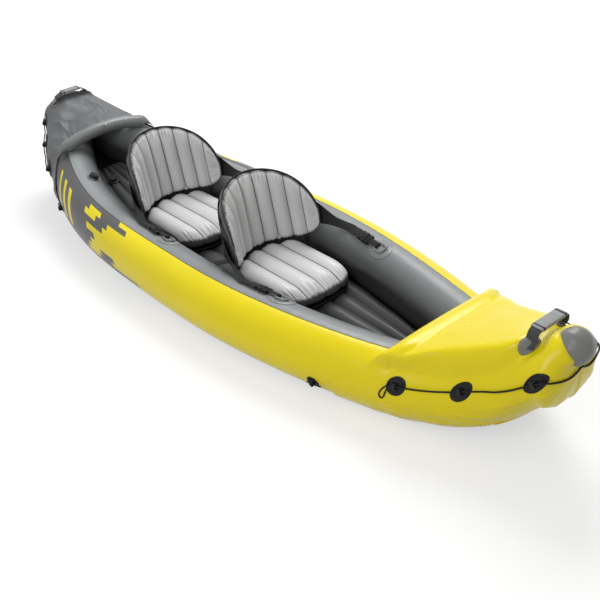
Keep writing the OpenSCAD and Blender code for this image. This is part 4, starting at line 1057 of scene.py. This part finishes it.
def falls(t, front, rear):
    """Rounded run from a flat weld up to full height and down again, as the root of 1 - |2t - 1|^p."""
    return np.sqrt(np.clip(1 - np.abs(2 * t - 1) ** np.where(t < 0.5, rear, front), 0, 1))


def notch(s, centre, width):
    """Narrow dip of depth 1 about a centre."""
    return np.exp(-(((s - centre) / width) ** 2))


def blow(made, held, slack, most, force=4.0, frames_run=20):
    """Blows a welded form up: Cloth with pressure and no gravity on a film that is longer than its welds
    by the share slack at each point. No point moves further than most, and the mesh keeps the result."""
    n = len(made.data.vertices)
    before = np.zeros(n * 3)
    made.data.vertices.foreach_get("co", before)
    weld = made.vertex_groups.new(name="weld")
    weld.add(np.flatnonzero(held).tolist(), 1.0, "REPLACE")
    loose = made.vertex_groups.new(name="loose")
    for level in range(1, 11):
        loose.add(np.flatnonzero(np.round(slack * 10) == level).tolist(), level / 10, "REPLACE")
    air = made.modifiers.new("air", "CLOTH")
    air.settings.quality = 6
    air.settings.mass = 0.2
    air.settings.tension_stiffness = 60
    air.settings.compression_stiffness = 60
    air.settings.shear_stiffness = 25
    air.settings.bending_stiffness = 0.3
    air.settings.use_pressure = True
    air.settings.uniform_pressure_force = force
    air.settings.vertex_group_shrink = "loose"
    air.settings.shrink_min = 0.0
    air.settings.shrink_max = -0.08
    air.settings.effector_weights.gravity = 0
    air.settings.vertex_group_mass = "weld"
    air.collision_settings.use_collision = False
    air.point_cache.frame_start = 1
    air.point_cache.frame_end = frames_run
    scene = bpy.context.scene
    for step in range(1, frames_run + 1):
        scene.frame_set(step)
    shaped = made.evaluated_get(bpy.context.evaluated_depsgraph_get()).to_mesh()
    after = np.zeros(n * 3)
    shaped.vertices.foreach_get("co", after)
    made.modifiers.remove(air)
    made.vertex_groups.remove(weld)
    made.vertex_groups.remove(loose)
    scene.frame_set(1)
    move = (after - before).reshape(-1, 3)
    size = np.linalg.norm(move, axis=1, keepdims=True)
    move = move * np.minimum(1, most / np.maximum(size, 1e-9))
    made.data.vertices.foreach_set("co", (before.reshape(-1, 3) + move).astype(np.float32).ravel())
    made.data.update()


def spread(n, part):
    """n values from 0 to 1 that stand closer near both ends: a share part of a cosine, the rest even."""
    even = np.linspace(0, 1, n)
    return mix(even, (1 - np.cos(np.pi * even)) / 2, part)


def two_faces(front, back, held, loose, q, t):
    """Closed rings of a form's front and back: points, weld mask, slack and map. The map runs by q
    across the form, and by t from 0 to 1 over its front and on to 2 over its back."""
    v = np.concatenate([t[0], 2 - t[0, ::-1], [2.0]])
    return (np.concatenate([front, back[:, ::-1]], 1), np.concatenate([held, np.ones_like(held)], 1),
            np.concatenate([loose, 0 * loose], 1), grid(q, v))


def pleats(q, count, width, seed):
    """Short creases that a gathered rim shows: narrow dips at uneven places, each of its own depth."""
    draw = np.random.default_rng(seed)
    places = (np.arange(count) + draw.uniform(0.2, 0.8, count)) * 2 / count - 1
    depths = draw.uniform(0.35, 1, count)
    return np.clip(sum(w * notch(q, c, width) for c, w in zip(places, depths)), 0, 1)


def cushion_points():
    """Closed rings over the cushion's width: the crowned top from rear to front, then the underside."""
    q = 2 * spread(177, 0.35)[:, None] - 1
    t = spread(84, 0.8)[None]
    y = q * seat_half
    x = mix(seat_rear(y), seat_edge(y), t)
    wave = np.abs(np.sin(np.pi / 2 * seat_channels * (q + 1)))
    side = np.clip(1 - np.abs(q) ** 9, 0, 1) ** 0.45
    arch = wave**0.62
    up = falls(t, 5, 14) * (0.10 + 0.90 * side * (0.54 + 0.46 * arch))
    tip = np.clip(ease((t - 0.8) / 0.2) + 0.7 * ease((0.1 - t) / 0.1), 0, 1)
    up = up * (1 - 0.35 * tip * (1 - arch) - 0.42 * tip * pleats(q, 26, 0.016, 71))
    x = x - 0.008 * (1 - arch) * ease((t - 0.8) / 0.2)
    top = cushion_z + seat_t * (0.42 + 0.56 * up + 0.02 * (1 - q * q))
    low = cushion_z + seat_t * (0.40 - 0.40 * (falls(t, 6, 16) * (0.12 + 0.88 * side)) ** 0.7)
    held = np.broadcast_to(wave < 0.06, x.shape) | (t > 0.995) | (t < 0.004) | (np.abs(q) > 0.985)
    loose = np.clip(ease((t - 0.8) / 0.15) + ease((np.abs(q) - 0.86) / 0.1), 0, 1)
    return two_faces(grid(x, y, top), grid(x, y, low), held, loose, q, t)


def back_top(q):
    """Top of the backrest round its bucket: a half ellipse above the wings."""
    return back_z + back_low + (back_h - back_low) * np.sqrt(np.clip(1 - q**2, 0, 1))


def back_bot(q):
    """Bottom of the backrest: flat in the middle, rounded up to the wings."""
    return back_z + back_low - back_low * np.sqrt(np.clip(1 - np.abs(q) ** 4.5, 0, 1))


def back_at(q, z, r):
    """Point of the bucket at angle share q, height z and radius r, with its backward lean."""
    a = np.radians(q * back_wrap)
    x = arc_x - r * np.cos(a) - math.tan(math.radians(back_lean)) * (z - back_z)
    return grid(x, r * np.sin(a), z)


def back_swell(q, t):
    """Depth of the backrest's rear face behind its middle plane, before the channels."""
    return (0.38 * back_t - rim_t) * falls(t, 5, 5) * np.clip(5 * (1 - np.abs(q)), 0, 1)


def backrest_points():
    """Closed rings round the backrest: the channelled front from bottom to top, then the back."""
    q = np.linspace(-0.985, 0.985, 9 * 30 + 1)[:, None]
    t = spread(80, 0.75)[None]
    wave = np.abs(np.sin(np.pi / 2 * back_channels * (q + 1)))
    arch = wave**0.66
    full = falls(t, 5, 12) * np.clip(5 * (1 - np.abs(q)), 0, 1)
    rim = np.clip(ease((t - 0.8) / 0.2) + ease((0.06 - t) / 0.06), 0, 1)
    wing = ease((np.abs(q) - 0.8) / 0.18)
    pucker = pleats(q, 44, 0.0095, 72)
    front = rim_t + (0.66 * back_t - rim_t) * full * (0.22 + 0.78 * arch) * (1 - 0.62 * rim * pucker)
    front = front * (1 - 0.5 * wing * pleats(2 * t - 1, 22, 0.02, 73))
    rear = rim_t + back_swell(q, t) * (0.6 + 0.4 * arch)
    low = back_bot(q) - 0.003 * np.clip(4 * (1 - np.abs(q)), 0, 1)
    z = mix(low, back_top(q) - 0.006 * (1 - arch), t)
    held = np.broadcast_to(wave < 0.1, z.shape) | (t > 0.985) | (t < 0.015) | (np.abs(q) > 0.97)
    loose = np.clip(ease((t - 0.8) / 0.15) + wing, 0, 1)
    return two_faces(back_at(q, z, back_r - front), back_at(q, z, back_r + rear), held, loose, q, t)


for name, count, form, most in (("cushion", seat_channels, cushion_points(), 0.004),
                                ("backrest", back_channels, backrest_points(), 0.003)):
    points, held, slack, film_uv = form
    # The silver film's paint carries painted shade as dark lines along its welds and rim.
    silver = vinyl("silver_" + name, None, 0.34, 0.48, 0.08, 0.1, 0.1, welded(count))
    body = "hull" if name == "cushion" else "front_backrest"
    front = piece("front_" + name + "_film", [closed(points, film_uv)], [silver], body, "silver_pvc",
                  "front_" + name)
    fixed = np.concatenate([held.ravel(), [True, True]])
    blow(front, fixed, np.concatenate([slack.ravel(), [0, 0]]), most)
    rear = bpy.data.objects.new("rear_" + name + "_film", front.data.copy())
    rear.data.transform(Matrix.Translation(seat_shift["rear"].tolist()))
    bpy.context.scene.collection.objects.link(rear)
    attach(rear, body.replace("front", "rear"))
    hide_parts("rear_" + name)

# Seat bases, skirts and backrest shells: the black and dark cloth parts that carry the silver film.
# The base is a thin stiff pad, the skirt closes the gap behind the cushion, the shell lines the back.
shell_t = 0.0022
for name, move in seat_shift.items():
    y = np.linspace(-1, 1, 61) * (seat_half - 0.006)
    rear_x, front_x = seat_rear(y) + 0.006, seat_edge(y) - 0.006
    outline = np.concatenate([np.stack([rear_x, y], 1), np.stack([front_x, y], 1)[::-1]])
    levels = [(base_z, 0.02), (base_z + 0.0015, 0), (base_z + base_t - 0.002, 0), (base_z + base_t, 0.02)]
    piece(name + "_base_pad", [closed(slab(outline, levels) + move)], [base_cloth], "hull",
          "black_webbing", name + "_base")
    a = np.radians(np.linspace(-56, 56, 90))[:, None]
    z = np.linspace(base_z, back_z - gap, 14)[None]
    wrinkle = 0.0008 * ripple(a * back_r, z, 61, 0.05)
    near, far = (grid(arc_x - r * np.cos(a), r * np.sin(a), z)
                 for r in (back_r - 0.001 + wrinkle, back_r + 0.003 + wrinkle))
    cloth = closed(np.concatenate([near, far[:, ::-1]], 1) + move)
    piece(name + "_skirt_cloth", [cloth], [back_cloth], "hull", "dark_pvc", name + "_skirt")
    q = np.linspace(-0.93, 0.93, 120)[:, None]
    t = np.linspace(0.04, 0.94, 40)[None]
    off = back_r + rim_t + back_swell(q, t) + gap + 0.001
    off = off + 0.0007 * ripple(q * 0.3, t * 0.25, 62, 0.05)
    z = mix(back_bot(q), back_top(q), t)
    lining = np.concatenate([back_at(q, z, off), back_at(q, z, off + shell_t)[:, ::-1]], 1)
    q = np.linspace(-0.985, 0.985, 160)
    a = np.radians(q * back_wrap)
    edge_line = back_at(q, back_top(q) + 0.0005, back_r) + move
    outward = grid(-np.cos(a), np.sin(a), 0)
    edging = carried(edge_line, rounded(0.012, 0.0036, 0.0014, 3), 1.0, outward)
    piece(name + "_back_shell", [closed(lining + move), edging], [back_cloth], name + "_backrest",
          "dark_pvc", name + "_backrest_cover")

# Strap rings and buckles: grey rings on oval welded patches along the inner walls, a short webbing tab
# on each, a side-release buckle, and black webbing from the buckle to the wing of the backrest.
strap_w = 0.038
strap_t = 0.0024
ring_l = 0.056
ring_b = 0.044
ring_d = 0.007
patch_t = 0.0022
ring_th = 112.0
ring_z = patch_t + 3 * gap
buckle_l = 0.062
buckle_w = 0.046
buckle_t = 0.013
half_buckle = buckle_l * 0.62
buckle_z = ring_z + 0.001 + buckle_t / 2
tab_x = ring_l / 2 + 0.036
strap_q = 0.8
ring_plastic = moulded("ring_plastic", (0.24, 0.243, 0.247), 0.28, 0.45)
patch_vinyl = vinyl("patch_vinyl", (0.24, 0.245, 0.25), 0.32, 0.48, 0.15, 0.15)
strap_web = webbing("strap_web", (0.016, 0.016, 0.0165))
patch_profile = np.array([
    [0.02, -0.0006], [0.6, -0.0006], [1, -0.0006], [1, 0.0004], [0.98, 0.001], [0.82, 0.0011],
    [0.79, 0.0018], [0.75, 0.0022], [0.7, 0.0022], [0.66, 0.0017], [0.62, 0.0016], [0.02, 0.0017]])
web = rounded(strap_w, strap_t, 0.0009, 3)
half_t = buckle_t / 2
patches, rings, tabs, tongues = [], [], [], []
for name, move in seat_shift.items():
    x = seat_front + 0.042 + move[0]
    twins(patches, pad(x, ring_th, ring_l * 1.02, ring_b * 1.02, 2 * gap, patch_profile, False, 72))
    spot = stand(x, ring_th, ring_z, False)
    loop = rounded(ring_l - ring_d, ring_b - ring_d, ring_b * 0.4 - ring_d / 2, 12)
    t = unit(np.roll(loop, -1, 0) - np.roll(loop, 1, 0))
    bar = circle(ring_d / 2, 16)
    flat = loop[:, None] + np.stack([t[:, 1], -t[:, 0]], 1)[:, None] * bar[None, :, :1]
    bar_points = grid(flat[..., 0], flat[..., 1], ring_d / 2 + bar[:, 1])
    bar_points = np.concatenate([bar_points, bar_points[:1]])
    for points in (put(bar_points, spot), flip(put(bar_points, spot))):
        rings.append(shell(points, None, True, False))
    w = min(strap_w, ring_b - 2 * ring_d) - 0.004
    top = ring_d + gap + strap_t / 2
    fold_x = -ring_l / 2 + ring_d + 0.008 - strap_t / 2
    flat_path = put(curve([
        [-tab_x + 0.0006, 0, top],
        [-tab_x / 2 - 0.02, 0, top],
        [fold_x - 0.004, 0, top],
        [fold_x - 0.001, 0, top - 0.001],
        [fold_x, 0, top - 0.004],
        [fold_x, 0, 0.001]], 40), spot)
    tab = rounded(w, strap_t, 0.0009, 3)
    for points, ref in ((flat_path, spot[2]), (flip(flat_path), flip(spot[2]))):
        n = unit(np.cross(ref, unit(np.gradient(points, axis=0))))
        rib = points[:, None] + ref * tab[None, :, :1] + n[:, None] * tab[None, :, 1:]
        tabs.append(closed(rib, ring_map(points, tab)))
    at, d, across, n = stand(x, ring_th, buckle_z, False)
    place_b = (at - d * (tab_x + buckle_l - half_buckle), d, across, n)
    tongue_l = buckle_l - half_buckle - 0.0006
    plate = rounded(tongue_l, buckle_w, 0.004, 5) + (0.0006 + tongue_l / 2, 0)
    levels = [(-half_t, 0.08), (-half_t + 0.001, 0.02), (-0.002, 0), (half_t - 0.0035, 0.02),
              (half_t - 0.002, 0.12)]
    twins(tongues, put(slab(plate, levels), place_b))
    levels = [(half_t - 0.003, 0), (half_t - 0.0012, 0.02), (half_t - 0.0006, 0.2)]
    for bar_x in (0.008, 0.0165):
        bar = rounded(0.0035, buckle_w * 0.86, 0.0015, 3) + (bar_x, 0)
        twins(tongues, put(slab(bar, levels), place_b))
    levels = [(-0.0034, 0.1), (-0.002, 0), (0.002, 0), (0.0034, 0.1)]
    for prong in (-1, 1):
        arm = rounded(half_buckle - 0.008, 0.0075, 0.003, 5) + (0.003 - half_buckle / 2, prong * 0.0135)
        twins(tongues, put(slab(arm, levels), place_b))
    hull_line = np.linspace(-1, 1, 60)
    cut = 0.0066 * np.exp(-((hull_line - 0.22) / 0.3) ** 4)
    edge_y = buckle_w / 2 * np.clip(1 - np.abs(hull_line) ** 14 * 0.2, 0, 1) - cut
    side_x = -half_buckle / 2 - hull_line * half_buckle / 2
    body_line = np.concatenate([np.stack([side_x, edge_y], 1), np.stack([side_x, -edge_y], 1)[::-1]])
    levels = [(-half_t, 0.1), (-half_t + 0.0012, 0.02), (0, 0), (half_t - 0.0014, 0.02),
              (half_t - 0.0002, 0.1), (half_t, 0.2)]
    buckle_forms = [put(slab(body_line, levels), place_b)]
    levels = [(half_t - 0.001, 0), (half_t + 0.0004, 0.02), (half_t + 0.0009, 0.3)]
    for rx in (-0.012, -0.018, -0.024):
        bar = rounded(0.0022, buckle_w * 0.55, 0.001, 3) + (rx, 0)
        buckle_forms.append(put(slab(bar, levels), place_b))
    s = np.cross(n, d)
    p1 = at - d * (tab_x + buckle_l + 0.001)
    z = mix(back_bot(strap_q), back_top(strap_q), 0.42)
    p0 = back_at(strap_q, z, back_r + 0.38 * back_t + shell_t + 0.004) + move
    p2 = p1 - d * 0.075
    straight = p1 - d * np.array([0.06, 0.045, 0.03, 0.015, 0])[:, None]
    start = [mix(p0, p2, -0.03), p0, mix(p0, p2, 0.5) - (0, 0, 0.006), p2]
    line = curve(np.concatenate([start, straight]), 120)
    reach = along(line)
    kept = reach < reach[-1] - 0.03
    tail = p1 + d * np.linspace(-0.033, 0.004, 8)[:, None]
    webs = []
    for centre, u, lift in ((line[kept], (reach / reach[-1])[kept][:, None], 0.0),
                            (tail, np.ones((8, 1)), 0.0029)):
        wide = unit(mix(np.array([0.15, 0.1, 1]), s * (-1 if s[2] < 0 else 1), ease(u / 0.75)))
        out = unit(np.cross(wide, np.gradient(centre, axis=0)))
        wide = wide * mix(2.7, 1, ease(u / 0.5))
        flat = wide[:, None] * web[None, :, :1] + out[:, None] * web[None, :, 1:]
        webs.append(((centre - out * lift)[:, None] + flat, ring_map(centre, web)))
    (strap_points, strap_uv), (tail_points, tail_uv) = webs
    for side, turn_over in (("port", lambda v: v), ("starboard", flip)):
        label = name + "_" + side
        body = [closed(turn_over(v)) for v in buckle_forms]
        body.append(closed(turn_over(tail_points), tail_uv, 1))
        piece(label + "_buckle_body", body, [black_mould, strap_web], label + "_buckle", "black_plastic",
              label + "_buckle")
        run = closed(turn_over(strap_points), strap_uv)
        strap = piece(label + "_back_strap", [run], [strap_web], None, "black_webbing", label + "_strap")
        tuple(turn_over(mix(p0, p1, 0.76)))
        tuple(turn_over(mix(p0, p1, 0.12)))
        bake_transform(strap)
piece("ring_patch_ovals", patches, [patch_vinyl], "hull", "grey_pvc", "ring_patches")
piece("strap_ring_bars", rings, [ring_plastic], "hull", "grey_plastic", "strap_rings")
piece("ring_webbing_tabs", tabs, [strap_web], "hull", "black_webbing", "ring_tabs")
piece("buckle_tongue_plates", tongues, [black_mould], "hull", "black_plastic", "buckle_tongues")

# Anchor straps: black webbing behind each seat from tube to tube, which the backrest leans on.
# Each is welded to the tubes' inner walls and hangs a little in the middle.
anchors = []
for name, move in seat_shift.items():
    x = arc_x - back_r - strap_w / 2 - 0.0034 + move[0]
    end = surf(np.float64(x), np.float64(158), 0.003)
    u = np.linspace(-1, 1, 60)
    anchors.append(carried(grid(x, end[1] * u, end[2] - 0.032 * (1 - u * u)), web))
piece("seat_anchor_webbing", anchors, [strap_web], "hull", "black_webbing", "seat_anchor_straps")

# Air valves: black screw caps on patches for the tubes and the floor, and small pale pinch valves.
# The turned solids are right as they are, and take moulded materials.
valve_black = moulded("valve_black", (0.035, 0.035, 0.036), 0.3, 0.5)
valve_patch = vinyl("valve_patch", (0.16, 0.165, 0.168), 0.35, 0.5, 0.2, 0.2)
plug_white = moulded("plug_white", (0.5, 0.5, 0.49), 0.25, 0.4)
for name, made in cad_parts.items():
    if "valve" in name or "plug" in name:
        pinch = "plug" in name or name in ("roll_valve", "front_backrest_valve", "rear_backrest_valve")
        hard = valve_patch if "patch" in name else valve_black
        made.data.materials.clear()
        made.data.materials.append(plug_white if pinch else hard)

# Camera at the photograph's place and lens, for an image of 600 by 600.
image_px = 600
focal_px = 906.7
cam_aim = np.array([0.267, 0, 0.0229])
cam_far = 3.642
cam_az, cam_el, cam_roll = np.radians([53.10, 32.67, -5.4455])


def placed(x_axis, y_axis, z_axis, at):
    """World matrix from three axes and a place."""
    made = np.eye(4)
    made[:3] = np.column_stack([x_axis, y_axis, z_axis, at])
    return Matrix(made.tolist())


level = np.array([math.sin(cam_az), -math.cos(cam_az), 0])
back = level * math.cos(cam_el) + (0, 0, math.sin(cam_el))
right = unit(np.cross((0, 0, 1), back))
up = np.cross(back, right)
cam = bpy.data.objects.new("camera", bpy.data.cameras.new("camera"))
bpy.context.scene.collection.objects.link(cam)
cam.data.sensor_width = 36.0
cam.data.lens = focal_px / image_px * 36
cam.matrix_world = placed(
    math.cos(cam_roll) * right + math.sin(cam_roll) * up,
    math.cos(cam_roll) * up - math.sin(cam_roll) * right,
    back, cam_aim + cam_far * back)
bpy.context.scene.camera = cam

# Stage: a floor that is white to the camera and keeps the shadow, a white surround and two broad lamps.
# The floor's own glow is for camera, mirror and glass rays only, so that it puts no light on the object.
floor_mat, ground, floor_skin = new_material("stage_floor")


def direct(tree):
    """1 for rays from the camera, a mirror or glass, and 0 for those that light the object."""
    seen = node(tree, "ShaderNodeLightPath").outputs
    first = calc(tree, "MAXIMUM", seen["Is Camera Ray"], seen["Is Glossy Ray"])
    return calc(tree, "MAXIMUM", first, seen["Is Transmission Ray"])


spot = node(ground, "ShaderNodeTexCoord").outputs["Object"]
away = node(ground, "ShaderNodeVectorMath", {0: spot}, operation="LENGTH").outputs["Value"]
glow = ramp(ground, away, 1.8, 4.5, 0.56, 1.0)
feed(ground, floor_skin, {
    "Base Color": (0.5, 0.5, 0.5, 1),
    "Roughness": 0.9,
    "Specular IOR Level": 0.0,
    "Emission Color": (1, 1, 1, 1),
    "Emission Strength": calc(ground, "MULTIPLY", direct(ground), glow)})
wide, down = 30.0, -0.0004
stage = bpy.data.objects.new("stage", bpy.data.meshes.new("stage"))
corners = [(-wide, -wide, down), (wide, -wide, down), (wide, wide, down), (-wide, wide, down)]
stage.data.from_pydata(corners, [], [(0, 1, 2, 3)])
stage.data.materials.append(floor_mat)
bpy.context.scene.collection.objects.link(stage)
stage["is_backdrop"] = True
world = bpy.data.worlds.new("surround")
bpy.context.scene.world = world
world.use_nodes = True
sky = world.node_tree
feed(sky, sky.nodes["Background"], {
    "Color": (1, 1, 1, 1),
    "Strength": ramp(sky, direct(sky), 0.0, 1.0, 0.42, 1.0)})
for name, spot, size, power in (("key_lamp", (-1.5, 2.3, 4.0), 2.6, 175),
                                ("side_lamp", (1.4, -3.9, 2.9), 2.2, 62)):
    lamp = bpy.data.objects.new(name, bpy.data.lights.new(name, "AREA"))
    lamp.data.size = size
    lamp.data.energy = power
    aim = unit(np.array(spot) - np.array([0.1, 0, 0.1]))
    level = unit(np.cross((0, 0, 1), aim))
    lamp.matrix_world = placed(level, np.cross(aim, level), aim, spot)
    bpy.context.scene.collection.objects.link(lamp)
bpy.context.scene.view_settings.view_transform = "Standard"

low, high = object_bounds()
